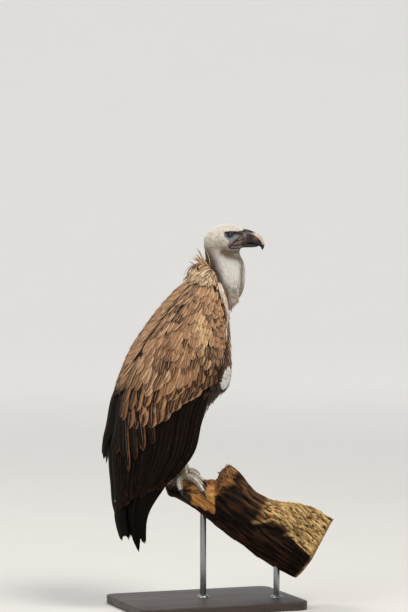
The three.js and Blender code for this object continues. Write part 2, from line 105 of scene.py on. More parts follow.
# Turn, height of the tip, length, half width and rustiness of the inner long feathers of each wing.
TERTIALS = {
    -1: [
        (14, 110, 150, 10, 0), (21, 96, 150, 11, 0.1), (27, 104, 150, 12, 0.3), (38, 96, 150, 12, 0.2),
        (49, 60, 205, 8, 1), (56, 90, 170, 10, 0.3), (63, 113, 165, 12, 0.9), (73, 130, 120, 10, 0.4),
    ],
    1: [
        (7, 116, 170, 11, 0), (13, 84, 200, 12, 0), (18, 96, 190, 12, 0), (25, 112, 170, 12, 0),
        (34, 70, 180, 11, 0.3), (46, 90, 170, 11, 0.3), (56, 108, 150, 12, 0.5),
    ],
}
TERTIAL_LIFT = {1: 10, -1: 3.5}  # how far their tips stand off, left wing and right
TERTIAL_ROLL = {1: 0.75, -1: 0.1}  # how far they turn on their shafts
# Heights, from the innermost on.
PRIMARY_TIPS = [-143, -149, -141, -127, -119, -123, -130, -131, -125]
# Height and turn of the pale strip down the wing's leading edge.
EDGE_STRIP = [
    (383, 125), (413, 127), (434, 133), (450, 130), (474, 120), (490, 110), (512, 101), (535, 92),
]
# White down below the wing's leading edge.
FLANK_PATCH = {"up": 284, "turn": 136, "high": 24, "wide": 9, "slant": 0.08, "tufts": 330}
# Rows of the ruff: reach, how many, middle and spread of their turn from the throat, the way they end.
RUFF_LAYERS = [
    (0.65, 120, math.pi, math.pi, -25), (0.9, 130, math.pi, math.pi, -45), (1.15, 120, math.pi, 2.3, -52),
]
# How low the ruff hangs, at each turn from the middle of the back.
RUFF_HEM = [(0, 516), (60, 514), (84, 502), (94, 484), (104, 464), (114, 444)]
# Height of the ruff's upper edge on the neck, from the throat (0) to the nape (1).
RUFF_RING = [(0.41, 474), (0.526, 496), (0.578, 528), (0.695, 552), (0.94, 574), (1, 578)]
RUFF_START = 0.42  # how far from throat (0) to nape (1) the layers begin
RUFF_MIDDLE = 54  # how far ahead the upright line lies that the ruff stands round
PLUMES, PLUME_REACH = 360, 78  # on each side, and how far the longest hangs over the body
SPIKES = 34  # loose feathers that stand up behind the nape
# Height, and how far ahead the bare skin of the face begins.
BARE_BEHIND = [
    (612, 88), (616, 73), (626, 69), (635, 74), (641, 67), (645, 61.5), (655, 61), (660, 65), (664, 112),
    (676, 117),
]
# Height of the bare skin's upper and lower edges, by how far ahead.
FACE_EDGE = {
    "above": [(60, 660.5), (106, 660.5), (112, 664), (118, 675)],
    "below": [(66, 613.5), (80, 613.5), (100, 614.5), (108, 600)],
}
# The nape's darker brown down is partly its own colour and partly painted shade.
NAPE_EDGE = [(530, 60), (563, 55), (600, 42), (640, 20)]  # height, and how far ahead the nape reaches
# The bill's ridge and nostril, ahead and up.
BILL_RIDGE = [(116, 664.5), (128, 661), (139, 655.5), (149, 648), (156, 640), (160, 630)]
NOSTRIL = (119.5, 634.5), (121, 641)
# Marks on the side of the head: strength, then start, end and width of a stroke or middle and size of
# a spot. First how the flesh swells or sinks: brow, eye socket, cheek, lores, mouth, lips and ear.
HEAD_RELIEF = [
    (2.3, (64, 659), (98, 663), 3.6), (-3.2, (79, 650), (12, 7.5)), (1.3, (56, 630), (15, 13)),
    (-1.8, (101, 650), (11, 6)), (-1.5, (80, 622), (126, 629), 1.3), (1.0, (84, 626.5), (120, 633.5), 2.2),
    (1.1, (82, 618), (116, 622), 2.6), (-1.2, (80, 624), (70, 640), 1.6), (-2.2, (50, 629), (3.2, 4.6)),
]
# The blue-grey skin under and behind the eye.
EYE_SHADOW = [
    (1, (63, 652), (72, 643), 2.8), (1, (72, 643), (88, 643), 3.8), (0.8, (88, 643), (97, 650), 2.6),
    (0.6, (77, 636), (5, 5)),
]
# Dark lines, partly painted shade: painted shade under the brow over the eye, the dark lores, a line down
# the cheek, the mouth, painted shade in the folds of the gape and under the jaw.
FACE_LINES_AND_SHADE = [
    (1.2, (61, 656.5), (90, 659.5), 3.0), (1.2, (90, 659), (124, 661), 3.4),
    (0.8, (88, 654), (106, 652), 3.6), (0.85, (100, 644), (73, 618), 2.8),
    (1.1, (84, 622), (126, 628.5), 1.7), (0.75, (92, 634), (112, 640), 1.5),
    (0.8, (96, 630), (118, 633), 0.9), (0.55, (86, 640), (100, 635), 0.9),
    (0.55, (84, 634), (96, 631), 0.9), (0.55, (84, 628), (98, 627), 0.9),
    (0.55, (100, 622), (86, 617.5), 0.9), (0.9, (66, 615), (104, 615), 2.6),
]
# Painted shade under the jaw, in the down: strength, then start, end and width of each stroke.
JAW_SHADE_LINES = [(1, (60, 608), (104, 609), 7), (0.85, (70, 600), (98, 592), 9)]
SCUTE_LENGTH = 3.4  # of the plates on toes and shanks
BROKEN_END, SAWN_END = -84, 328  # of the limb, down its slope
FLESH_GRAIN, PERCH_GRAIN = 3.2, 2.1  # how fine the skin's and the limb's meshes are
ROD_SUNK = 6  # how far each rod of the stand goes on past its solid, into the limb
TUFT_PATCH = 0.003  # side of a tuft's patch in the bake map
COVERT_REACH = 400  # usual height from a wing's lowest coverts to its highest
TAIL_ROOT = 112
# The tail's upper face: height and distance ahead.
TAIL_LINE = [(117, -172), (60, -204), (0, -219), (-60, -225), (-124, -211)]
BREAST_DEPTH = 13  # how much deeper the coat is on the breast
# Height, and how far the skin lies under the feathers.
COAT_DEPTH = [(60, 0), (112, 0), (150, 6), (480, 7), (520, 4.5), (590, 4.5), (622, 2.2), (690, 2.2)]

# Each leg's ankle in the bird's axes, then along the heading the joint of its foot, and for each toe
# the top of its arch, its end and the point of its claw.
LEGS = {
    "left": {
        "ankle": (-62, 38, 112),
        "joint": (-34, 22, 42),
        "toes": [
            ((-16, 30, 42), (-3, 34, 30), (4, 36, 17)),
            ((-14, 12, 36), (9, 6, 18), (18, 4, 7)),
            ((-32, 42, 37), (-30, 56, 27), (-30, 65, 19)),
            ((-50, 16, 36), (-63, 12, 20), (-71, 10, 9)),
        ],
    },
    "right": {
        "ankle": (-66, -34, 112),
        "joint": (-42, -42, 36),
        "toes": [
            ((-14, -56, 27), (8, -71, -1), (15, -74, -17)),
            ((-18, -41, 33), (6, -49, 12), (17, -54, 2)),
            ((-52, -54, 29), (-48, -62, 4), (-41, -60, -13)),
            ((-60, -38, 27), (-72, -32, 12), (-79, -30, 2)),
        ],
    },
}
# Radii of limbs by the share of their length.
SHANK_RADII = [(0, 13), (0.5, 9.5), (1, 12.5)]
TOE_RADII = [(0, 9), (0.5, 8), (1, 6.4)]
CLAW_RADII = [(0, 5.2), (0.5, 3.6), (1, 0.6)]

# Outlines of feathers: how far down, share of the full half width.
ROUND_TIP = [(0, 0.4), (0.2, 0.85), (0.5, 1), (0.8, 0.94), (0.92, 0.66), (1, 0.12)]
SOFT_TIP = [(0, 0.45), (0.25, 0.9), (0.5, 1), (0.75, 0.86), (0.9, 0.52), (1, 0.06)]
LANCE_TIP = [(0, 0.4), (0.25, 0.9), (0.5, 1), (0.75, 0.78), (0.92, 0.4), (1, 0.06)]
FLIGHT_TIP = [(0, 0.35), (0.1, 0.75), (0.35, 1), (0.85, 0.98), (0.94, 0.8), (0.985, 0.42), (1, 0.1)]
TERTIAL_TIP = [(0, 0.4), (0.3, 0.9), (0.6, 1), (0.85, 0.85), (0.95, 0.5), (1, 0.08)]
PRIMARY_TIP = [(0, 0.35), (0.1, 0.75), (0.35, 1), (0.7, 0.9), (0.9, 0.6), (1, 0.06)]
FLIGHT_LANES = (-1, -0.5, -0.04, 0.1, 0.17, 0.24, 0.6, 1)  # closest together at the raised shaft
DOWN_TIP = [(0, 0.7), (0.45, 1), (1, 0.08)]
SCALE_TIP = [(0, 0.75), (0.5, 1), (0.85, 0.75), (1, 0.35)]


def colour(code):
    """A hexadecimal colour as linear red, green and blue."""
    parts = np.array([int(code[i : i + 2], 16) for i in (0, 2, 4)]) / 255
    return np.where(parts <= 0.04045, parts / 12.92, ((parts + 0.055) / 1.055) ** 2.4)


CROWN_DOWN = colour("F0E8DA")
NECK_DOWN = colour("F1EBE2")
GREY_DOWN = colour("A99C88")
BROWN_AND_JAW_SHADE = colour("66503C")
NAPE_BROWN_AND_SHADE = colour("503C2A")
THROAT_GROOVE_SHADE = colour("7D7266")
FACE_DARK = colour("2A2321")
FACE_BLUE = colour("768A93")
GAPE_SKIN = colour("A08E84")
CERE_SKIN = colour("4C3F3B")
RUFF_BUFF = colour("E8B980")
RUFF_BROWN = colour("4E301C")
TAN = colour("D09A6C")
PALE_TAN = colour("F2CCA4")
WARM_BROWN = colour("A06E4A")
UMBER = colour("5A3A27")
RUSTY = colour("925C39")
DARK_VANE = colour("1C130C")
NEAR_BLACK = colour("070403")
DOWN_WHITE = colour("F4F0EA")
CREAM_PATCH = colour("FFD49E")
FOOT_GREY = colour("BCAA90")
FOOT_DARK = colour("3E3228")
HORN_DARK = colour("221E1D")
HORN_CREAM = colour("DACDB2")
CLAW_BLACK = colour("26211E")

# ---------------------------------------------------------------- places


def between(rows):
    """A smooth curve through rows: gives the rest of a row at any value of its first number."""
    table = np.array(rows, float)
    table = table[np.argsort(table[:, 0])]
    at, rest = table[:, 0], table[:, 1:]
    slope = np.gradient(rest, at, axis=0, edge_order=1)
    slope[1:-1] = (rest[2:] - rest[:-2]) / (at[2:] - at[:-2])[:, None]

    def curve(value):
        value = np.asarray(value, float)
        i = np.clip(np.searchsorted(at, value) - 1, 0, len(at) - 2)
        span = at[i + 1] - at[i]
        t = np.clip((value - at[i]) / span, 0, 1)
        rise = (t * t * (3 - 2 * t))[..., None]
        leave = (t * (1 - t) ** 2 * span)[..., None]
        arrive = (t * t * (t - 1) * span)[..., None]
        return rest[i] + rise * (rest[i + 1] - rest[i]) + leave * slope[i] + arrive * slope[i + 1]

    return curve


def headed(ahead, aside, up):
    """From ahead, aside (to the left) and up along the heading, to the bird's own axes."""
    c, s = math.cos(HEADING), math.sin(HEADING)
    ahead, aside, up = np.broadcast_arrays(ahead, aside, up)
    return np.stack([c * ahead - s * aside, s * ahead + c * aside, up], -1).astype(float)


def on_head(ahead, aside, up):
    return headed(ahead, np.asarray(aside) + HEAD_OFFSET, up)


def along_heading(points):
    """Ahead, aside and up along the heading, of points in the bird's axes."""
    c, s = math.cos(HEADING), math.sin(HEADING)
    x, y, z = np.moveaxis(np.asarray(points, float), -1, 0)
    return c * x + s * y, -s * x + c * y, z


def head_axes(points):
    """Ahead, aside and up along the heading, aside measured from the head's middle plane."""
    ahead, aside, up = along_heading(points)
    return ahead, aside - HEAD_OFFSET, up


def on_perch(down, aside, out):
    c, s = math.cos(PERCH_SLOPE), math.sin(PERCH_SLOPE)
    return headed(down * c + out * s, aside, out * c - down * s)


def centre(node):
    low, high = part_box(node)
    return (low + high) / 2


EYES = (centre("eye_left") + centre("eye_right")) / 2
FEET = np.array(EYES) - on_head(EYE["ahead"], 0, EYE["up"]) * MM


def metres(points):
    return FEET + np.asarray(points, float) * MM


def millimetres(points):
    return (np.asarray(points, float) - FEET) / MM


def squared(value, squareness):
    return np.sign(value) * np.abs(value) ** (2 / squareness)


def mix(a, b, share):
    """Between a and b, by a share for each row."""
    share = np.asarray(share, float)[..., None]
    return a + (b - a) * share


def ease(low, high, value):
    """0 below low, 1 above high, smooth between."""
    t = np.clip((np.asarray(value, float) - low) / (high - low), 0, 1)
    return t * t * (3 - 2 * t)


def spot(ahead, up, at, size):
    """1 at a place seen from the side, falling to 0 over the size given."""
    return np.exp(-(((ahead - at[0]) / size[0]) ** 2) - ((up - at[1]) / size[1]) ** 2)


def stroke(ahead, up, start, end, width):
    """1 on a line seen from the side, falling to 0 over the width given."""
    run = np.array(end, float) - np.array(start, float)
    t = np.clip(((ahead - start[0]) * run[0] + (up - start[1]) * run[1]) / (run @ run), 0, 1)
    off = np.hypot(ahead - start[0] - t * run[0], up - start[1] - t * run[1])
    return np.exp(-((off / width) ** 2))


def drawn(ahead, up, marks):
    """The sum of strokes and spots, each with its strength."""
    total = 0.0
    for strength, *mark in marks:
        total = total + strength * (stroke if len(mark) == 3 else spot)(ahead, up, *mark)
    return total


def read(table, value):
    """Straight lines through the rows of a table."""
    return np.interp(value, *zip(*table))


def washed(tone, *washes):
    """A colour with others laid over it in turn, each by its share."""
    for over, share in washes:
        tone = mix(tone, over, share)
    return tone


def unit(rows):
    return rows / np.maximum(np.linalg.norm(rows, axis=-1, keepdims=True), 1e-9)


def squared_to(along, way):
    """The direction nearest to a way that is at right angles to another."""
    return unit(way - along * np.sum(way * along, -1)[..., None])


def rough(points, size, seed=0):
    """Smooth noise from -1 to 1 at points, in lumps of the size given along each axis."""
    scaled = np.asarray(points, float) / np.asarray(size, float) + seed * 17.3
    return np.array([noise.noise(row) for row in scaled.tolist()])


body_at = between(BODY)
covert_tips = between(COVERT_TIPS)
tail_at = between(TAIL_LINE)
neck_at = between(NECK)
head_at = between(HEAD)


def on_body(side, turn, up, depth):
    """A place in the feathered body: turn in degrees from the middle of the back, depth inwards."""
    back, front, half = np.moveaxis(body_at(up), -1, 0)
    foot = BODY[-1][0]
    inwards = depth * (TIP_TAPER + (1 - TIP_TAPER) * np.clip((up - foot) / (TAPER_TOP - foot), 0, 1))
    angle = np.radians(turn)
    aside = (half - inwards) * squared(np.sin(angle), BODY_SQUARENESS)
    ahead = (back + front) / 2 - ((front - back) / 2 - inwards) * squared(np.cos(angle), BODY_SQUARENESS)
    return np.stack([ahead, side * aside, np.broadcast_to(up, ahead.shape)], -1)


# ---------------------------------------------------------------- meshes


def rod(shape, count, sides, put):
    """Adds a closed rod whose rings lie where `put` says, from how far along and the turn round it."""
    own = bmesh.new()
    bmesh.ops.create_cone(own, cap_ends=True, segments=sides, radius1=1, radius2=1, depth=1)
    rails = [e for e in own.edges if abs(e.verts[0].co.z - e.verts[1].co.z) > 0.5]
    bmesh.ops.subdivide_edges(own, edges=rails, cuts=count - 1)
    place = np.array([v.co for v in own.verts])
    moved = metres(put(0.5 - place[:, 2], np.arctan2(place[:, 1], place[:, 0])))
    for v, p in zip(own.verts, moved):
        v.co = p
    mesh = bpy.data.meshes.new("rod")
    own.to_mesh(mesh)
    own.free()
    shape.from_mesh(mesh)
    bpy.data.meshes.remove(mesh)


def path_through(points):
    """A smooth line through points, and its two side directions, at any share of its length."""
    points = np.array(points, float)
    steps = np.concatenate([[0], np.cumsum(np.linalg.norm(np.diff(points, axis=0), axis=1))])
    place = between(np.column_stack([steps / steps[-1], points]))

    def course(along):
        spine = place(along)
        ahead = unit(place(along + 0.01) - place(along - 0.01))
        level = unit(np.cross(ahead, (0.12, 0.98, 0.17)))
        return spine, level, unit(np.cross(ahead, level))

    return course


def limb(shape, points, radii, count, sides):
    path = path_through(points)
    thickness = between(radii)

    def put(along, turn):
        spine, level, across = path(along)
        radius = thickness(along)
        return spine + radius * (np.cos(turn)[:, None] * level + np.sin(turn)[:, None] * across)

    rod(shape, count, sides, put)


def finished(shape, name):
    """The mesh of a bmesh, with its faces turned outwards."""
    bmesh.ops.recalc_face_normals(shape, faces=shape.faces)
    mesh = bpy.data.meshes.new(name)
    shape.to_mesh(mesh)
    shape.free()
    mesh.polygons.foreach_set("use_smooth", [True] * len(mesh.polygons))
    return mesh


def placed(name, data):
    """An object in the scene for a mesh, lamp or camera."""
    made = bpy.data.objects.new(name, data)
    bpy.context.scene.collection.objects.link(made)
    return made


def show(name, mesh, material, slot, *nodes):
    """Puts a finished mesh in the scene as a piece of the bird, its perch or its stand."""
    made = placed(name, mesh)
    mesh.materials.clear()
    mesh.materials.append(material)
    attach(made, "root")
    if nodes:
        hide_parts(*nodes)
    return made


def relax(shape, rounds, verts=None):
    """Smooths a bmesh, or some of its vertices."""
    verts = shape.verts if verts is None else verts
    for _ in range(rounds):
        bmesh.ops.smooth_vert(
            shape, verts=verts, factor=0.5, use_axis_x=True, use_axis_y=True, use_axis_z=True
        )


def wrapped(shape, voxel):
    """One closed and smoothed skin round everything in a bmesh."""
    mesh = bpy.data.meshes.new("rough")
    shape.to_mesh(mesh)
    shape.free()
    worked = placed("rough", mesh)
    wrap = worked.modifiers.new("wrap", "REMESH")
    wrap.mode = "VOXEL"
    wrap.voxel_size = voxel * MM
    wrap.adaptivity = 0
    made = bpy.data.meshes.new_from_object(worked.evaluated_get(bpy.context.evaluated_depsgraph_get()))
    bpy.data.objects.remove(worked)
    skin = bmesh.new()
    skin.from_mesh(made)
    for used in (mesh, made):
        bpy.data.meshes.remove(used)
    skin.verts.index_update()
    relax(skin, 3)
    return skin


def from_cad(*names):
    """The CAD solids of these nodes in one bmesh, their corners joined."""
    shape = bmesh.new()
    for name in names:
        shape.from_mesh(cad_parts[name].data)
    bmesh.ops.remove_doubles(shape, verts=shape.verts, dist=1e-6)
    return shape


def of_vertices(mesh, what="co"):
    """The place of each vertex of a mesh, or another of its vectors."""
    values = np.zeros(len(mesh.vertices) * 3)
    mesh.vertices.foreach_get(what, values)
    return values.reshape(-1, 3)


def surface_of(mesh):
    """Places on a mesh in millimetres, and the way out of it at each."""
    return millimetres(of_vertices(mesh)), of_vertices(mesh, "normal")


def reshape(mesh, places):
    """Moves the vertices of a mesh to places in millimetres."""
    mesh.vertices.foreach_set("co", metres(places).ravel())
    mesh.update()


def paint(mesh, name, colours):
    """Stores a colour for each vertex."""
    layer = mesh.color_attributes.new(name, "FLOAT_COLOR", "POINT")
    full = np.ones((len(mesh.vertices), 4), np.float32)
    full[:, :3] = colours
    layer.data.foreach_set("color", full.ravel())


# ---------------------------------------------------------------- feathers


class Coat:
    """Many closed vanes joined in one mesh, each with its colours and its own patch of the bake map."""

    def __init__(self, name):
        self.name = name
        self.sets = []

    def add(self, spine, outwards, half, web, rim, cells, lanes=(-1, 0, 1), ridge=0.5, crown=0.0,
            roll=0.0, lift=0.0, outer=1):
        """Vanes along spines of shape (vanes, rows, 3), each with a half width for every row.

        outwards is roughly the way that their upper faces look, and lift how far they stand off the
        spine that way. lanes are the places across a vane's top, ridge the thickness of its shaft,
        crown how far its edges droop and roll how far one edge lifts over the next vane. outer says
        which side is the outer web.
        """
        along_spine = unit(np.gradient(spine, axis=1))
        outwards = squared_to(along_spine, outwards)
        sideways = np.cross(along_spine, outwards)
        top = np.array(lanes, float)
        low = top[-2:0:-1]
        across = np.concatenate([top, low])
        swell = np.concatenate([1 - top**2, -0.6 * (1 - low**2)])
        thickness = ridge * np.minimum(1, half / half.max(axis=1, keepdims=True) + 0.1)
        droop = np.asarray(crown, float).reshape(-1, 1, 1) * half[..., None] * across**2
        lean = np.asarray(roll, float).reshape(-1, 1, 1) * half[..., None] * across
        out = thickness[..., None] * swell - droop + lean + np.asarray(lift, float)[..., None]
        wide = half[..., None] * across
        places = (
            spine[:, :, None, :]
            + sideways[:, :, None, :] * wide[..., None]
            + outwards[:, :, None, :] * out[..., None]
        )
        along = np.broadcast_to(np.linspace(0, 1, half.shape[1])[None, :, None], places.shape[:3])
        web_place = np.broadcast_to((1 + outer * across) / 2, places.shape[:3])
        self.sets.append((places, web_place, along, web, rim, cells))

    def mesh(self):
        """The joined mesh, with its Vane and OFBake maps and the colours of each vane."""
        points, loops, starts, vane_uv, bake_uv, webs, rims = [], [], [], [], [], [], []
        first = 0
        corner = 0
        for places, across, along, web, rim, cells in self.sets:
            vanes, rows, ring = places.shape[:3]
            count = vanes * rows * ring
            grid = first + np.arange(count).reshape(vanes, rows, ring)
            nexts = np.roll(grid, -1, axis=2)
            quads = np.stack(
                [grid[:, :-1], nexts[:, :-1], nexts[:, 1:], grid[:, 1:]], -1
            ).reshape(-1, 4)
            # The ends are closed by strips across the ring, so that every face has four corners.
            half = ring // 2
            ends = []
            for row, turned in ((0, True), (rows - 1, False)):
                for k in range(half):
                    strip = [grid[:, row, k % ring], grid[:, row, k + 1],
                             grid[:, row, (ring - k - 1) % ring], grid[:, row, (ring - k) % ring]]
                    ends.append(np.stack(strip[::-1] if turned else strip, -1))
            faces = np.concatenate([quads] + [self.tidy(e) for e in ends])
            sizes = np.full(len(faces), 4)
            flat = faces.ravel()
            repeated = faces[:, 0] == faces[:, 3]
            if repeated.any():
                keep = np.ones(faces.shape, bool)
                keep[repeated, 3] = False
                flat = faces[keep]
                sizes = keep.sum(1)
            points.append(metres(places.reshape(-1, 3)))
            loops.append(flat)
            starts.append(corner + np.concatenate([[0], np.cumsum(sizes)[:-1]]))
            corner += len(flat)
            u, v = across.reshape(-1), along.reshape(-1)
            vane_uv.append(np.stack([u, v], -1)[flat - first])
            cell = np.repeat(cells, rows * ring, axis=0)
            patch = np.stack([cell[:, 0] + (u - 0.5) * cell[:, 2], cell[:, 1] + (v - 0.5) * cell[:, 3]], -1)
            bake_uv.append(patch[flat - first])
            webs.append(np.repeat(web, rows * ring, axis=0))
            rims.append(np.repeat(rim, rows * ring, axis=0))
            first += count
        mesh = bpy.data.meshes.new(self.name)
        points = np.concatenate(points)
        loops = np.concatenate(loops)
        starts = np.concatenate(starts)
        mesh.vertices.add(len(points))
        mesh.vertices.foreach_set("co", points.ravel())
        mesh.loops.add(len(loops))
        mesh.loops.foreach_set("vertex_index", loops.astype(np.int32))
        mesh.polygons.add(len(starts))
        mesh.polygons.foreach_set("loop_start", starts.astype(np.int32))
        mesh.update(calc_edges=True)
        mesh.polygons.foreach_set("use_smooth", [True] * len(starts))
        for name, values in (("OFBake", bake_uv), ("Vane", vane_uv)):
            layer = mesh.uv_layers.new(name=name)
            layer.data.foreach_set("uv", np.concatenate(values).astype(np.float32).ravel())
        paint(mesh, "Web", np.concatenate(webs))
        paint(mesh, "Rim", np.concatenate(rims))
        mesh.set_sharp_from_angle(angle=math.radians(70))
        return mesh

    @staticmethod
    def tidy(strip):
        """Moves a repeated corner of a three-cornered end face to the last place."""
        same = strip[:, 0] == strip[:, 3]
        if same.all():
            return strip
        other = strip[:, 1] == strip[:, 2]
        if other.all():
            return np.stack([strip[:, 2], strip[:, 3], strip[:, 0], strip[:, 2]], -1)
        return strip

    def show(self, material, slot, *nodes):
        return show(self.name, self.mesh(), material, slot, *nodes)


def cell_grid(count, columns):
    """A patch of the bake map for each of so many large vanes, in rows from the first."""
    rows = math.ceil(count / columns)
    i = np.arange(count)
    step = np.array([1 / columns, 1 / rows])
    place = np.stack([i % columns, i // columns], -1) * step + step / 2
    return np.column_stack([place, np.broadcast_to(step * 0.9, place.shape)])


def cell_at(u, v):
    """The small patch of each tuft, at its root's place on the skin's unwrap."""
    return np.column_stack([u, v, np.full((len(u), 2), TUFT_PATCH)])


def inset(share):
    """A share of the unwrap's width, kept clear of its edges."""
    return 0.02 + 0.96 * np.asarray(share)


def outlined(half, outline, rows):
    """Half widths at each row of vanes, from their outline."""
    return np.asarray(half, float)[:, None] * between(outline)(np.linspace(0, 1, rows))[None, :, 0]


def on_coat(side, turn, up, depth, lift):
    """Spines on the body's surface, lifted from it, with the way out at each place."""
    spine = on_body(side, turn, up, depth)
    beside = on_body(side, turn + 1, up, depth) - on_body(side, turn - 1, up, depth)
    back, front, _ = np.moveaxis(body_at(up), -1, 0)
    middle = np.stack([(back + front) / 2, 0 * up, up], -1)
    out = unit(np.cross(unit(np.gradient(spine, axis=1)), beside))
    out *= np.sign(np.sum(out * (spine - middle), -1))[..., None]
    return spine + out * lift[..., None], out


def tract(coat, side, turn, up, length, half, rows, lean=0.0, root_depth=7.0, tip_depth=0.0, lift=1.0,
          outline=ROUND_TIP, cells=None, **options):
    """A set of feathers lying down the body. turn and up place their tips."""
    cells = body_patch(turn * side, up) if cells is None else cells
    widths = outlined(half, outline, rows)
    t = np.linspace(0, 1, rows)[None, :]
    turn, up, length, lean, root_depth, tip_depth, lift = (
        np.broadcast_to(np.asarray(a, float), len(turn))[:, None]
        for a in (turn, up, length, lean, root_depth, tip_depth, lift)
    )
    depths = tip_depth + (root_depth - tip_depth) * (1 - t) ** 1.3
    spine, out = on_coat(side, turn - lean * (1 - t), up + length * (1 - t), depths, lift * t**3)
    coat.add(spine, out, widths, cells=cells, outer=side, **options)


def body_patch(turn, up):
    """Where a place on the body lies on the unwrap of the skin."""
    return cell_at(inset(turn % 360 / 360), inset((up + 160) / 720))


def golden(side, turn, up):
    """The pale patch on the upper wing."""
    ahead = along_heading(on_body(side, turn, up, 0.0))[0]
    return stroke(ahead, up, (-6, 428), (10, 372), 17)


def clouds(side, turn, up, size, seed):
    """Broad changes of tone over the body, from -1 to 1."""
    return rough(on_body(side, turn, up, 0.0), (size, size, size), seed) * 2


def covert_height(turn, share):
    """Height on a wing, from the tips of its lowest coverts (0) to the top of its mantle (1)."""
    low = covert_tips(turn)[..., 0]
    return low + share * (read(MANTLE_TOP, turn) - low)


def covert_rows(side, first, last):
    """Rows of coverts from the wing's lower edge up.

    Gives the index of each row, its share of the way up, the turn and height of each tip, how much of
    each feather shows and how far apart they stand.
    """
    share = 0.0
    index = 0
    while index < last and share < 0.985:
        low = 1 - share
        visible = 16 + 22 * low + 17 * low**4.5
        if index >= first:
            spacing = 8 + 8.5 * low + 3.5 * low**3
            yield index, share, *covert_places(side, share, visible, spacing, index), spacing
        share += visible / COVERT_REACH
        index += 1


def covert_places(side, share, visible, spacing, index):
    """Where the tips of one row of coverts lie, and how much of each shows: less where a wing narrows."""
    turns_at = np.linspace(INNER_EDGE[side], SHOULDER_FRONT, 120)
    line = on_body(side, turns_at, covert_height(turns_at, share), 0.0)
    walk = np.concatenate([[0], np.cumsum(np.linalg.norm(np.diff(line, axis=0), axis=1))])
    count = int(walk[-1] / spacing)
    stray_along, stray_up = (0.14, 0.08) if index == 0 else (0.3, 0.22)
    places = (np.arange(count) + 0.5 + 0.5 * (index % 2)) * walk[-1] / (count + 0.5)
    turn = np.interp(places + RNG.normal(0, stray_along * spacing, count), walk, turns_at)
    high = covert_height(turn, 1.0) - covert_height(turn, 0.0)
    shows = visible * np.clip(high / COVERT_REACH, 0.5, 1.1)
    return turn, covert_height(turn, share) + RNG.normal(0, stray_up, count) * shows, shows


def greater_covert_feathers(side, name):
    """The lowest two rows of coverts: broad and dark, with tan outer webs and pale tips, their rims painted
    near black as shade toward the leading edge.
    """
    coat = Coat(f"wing_{name}_greater_covert_feathers")
    for index, _, turn, up, shows, spacing in covert_rows(side, 0, 2):
        count = len(turn)
        web = mix(NEAR_BLACK, UMBER, RNG.uniform(0, 0.6 + 0.4 * index, count))
        rim = washed(
            UMBER, (TAN, RNG.uniform(0.45, 1, count)), (UMBER, 0.4 * (1 - ease(20, 60, turn))),
            # Painted shade toward the wing's leading edge.
            (NEAR_BLACK, 0.8 * ease(108, 115, turn)),
        )
        length = shows * 1.9 * RNG.uniform(0.95, 1.1, count)
        tract(
            coat, side, turn, up, length, spacing * RNG.uniform(0.74, 0.84, count), 14,
            lean=0.09 * length * (1 - ease(60, 128, turn)), root_depth=8.0, tip_depth=1.5,
            lift=RNG.uniform(0.2, 1.0, count), lanes=(-1, -0.5, -0.05, 0.08, 0.5, 1),
            ridge=0.9, crown=0.17, roll=0.13 * side, web=web, rim=rim,
        )
    return coat


def covert_feathers(side, name):
    """The median and lesser coverts and the mantle, from over the greater coverts up to the shoulder."""
    coat = Coat(f"wing_{name}_covert_feathers")
    for _, share, turn, up, shows, spacing in covert_rows(side, 2, 40):
        count = len(turn)
        web, rim = covert_colours(side, turn, up)
        length = shows * RNG.uniform(1.7, 2.5, count)
        swing = RNG.normal(0, 0.045, count) + 0.07 * (1 - ease(40, 110, turn))
        tract(
            coat, side, turn, up, length, spacing * RNG.uniform(0.58, 0.82, count), 10,
            lean=swing * length, root_depth=6.0 + 1.5 * (1 - share) ** 2,
            tip_depth=RNG.uniform(-0.8, 1.8, count), lift=RNG.uniform(0, 1.5, count) ** 1.3,
            outline=SOFT_TIP, lanes=(-1, -0.5, 0, 0.5, 1),
            ridge=0.5, crown=RNG.uniform(0.07, 0.22, count), roll=(0.08 + RNG.normal(0, 0.07, count)) * side,
            web=web, rim=rim,
        )
    return coat


def covert_colours(side, turn, up):
    """Webs and rims of coverts: mixed browns, paler in broad clouds and in the golden patch, some painted
    near black as shade in a band low on the wing's front.
    """
    count = len(turn)
    tone = 0.78 + 0.42 * clouds(side, turn, up, 60, 1) + RNG.normal(0, 0.44, count)
    tone = tone + 0.1 * ease(330, 420, up) - 0.08 * (1 - ease(20, 60, turn))
    web = washed(
        UMBER, (WARM_BROWN, np.clip(2 * tone, 0, 1)), (TAN, np.clip(2 * tone - 1, 0, 0.85)),
        (DARK_VANE, 0.6 * (RNG.uniform(0, 1, count) < 0.12)),
    )
    rim = mix(WARM_BROWN, PALE_TAN, np.clip(0.25 + 0.6 * tone + RNG.normal(0, 0.25, count), 0, 1))
    ahead = along_heading(on_body(side, turn, up, 0.0))[0]
    # Painted shade: about half the feathers in this band near black.
    shaded = stroke(ahead, up, (24, 344), (50, 290), 21) * (RNG.uniform(0, 1, count) < 0.55)
    pale = np.clip(golden(side, turn, up) * RNG.uniform(0.5, 1.4, count), 0, 1)
    web = washed(web, (NEAR_BLACK, 0.85 * shaded), (CREAM_PATCH, pale))
    return web, washed(rim, (NEAR_BLACK, 0.8 * shaded), (CREAM_PATCH, pale))


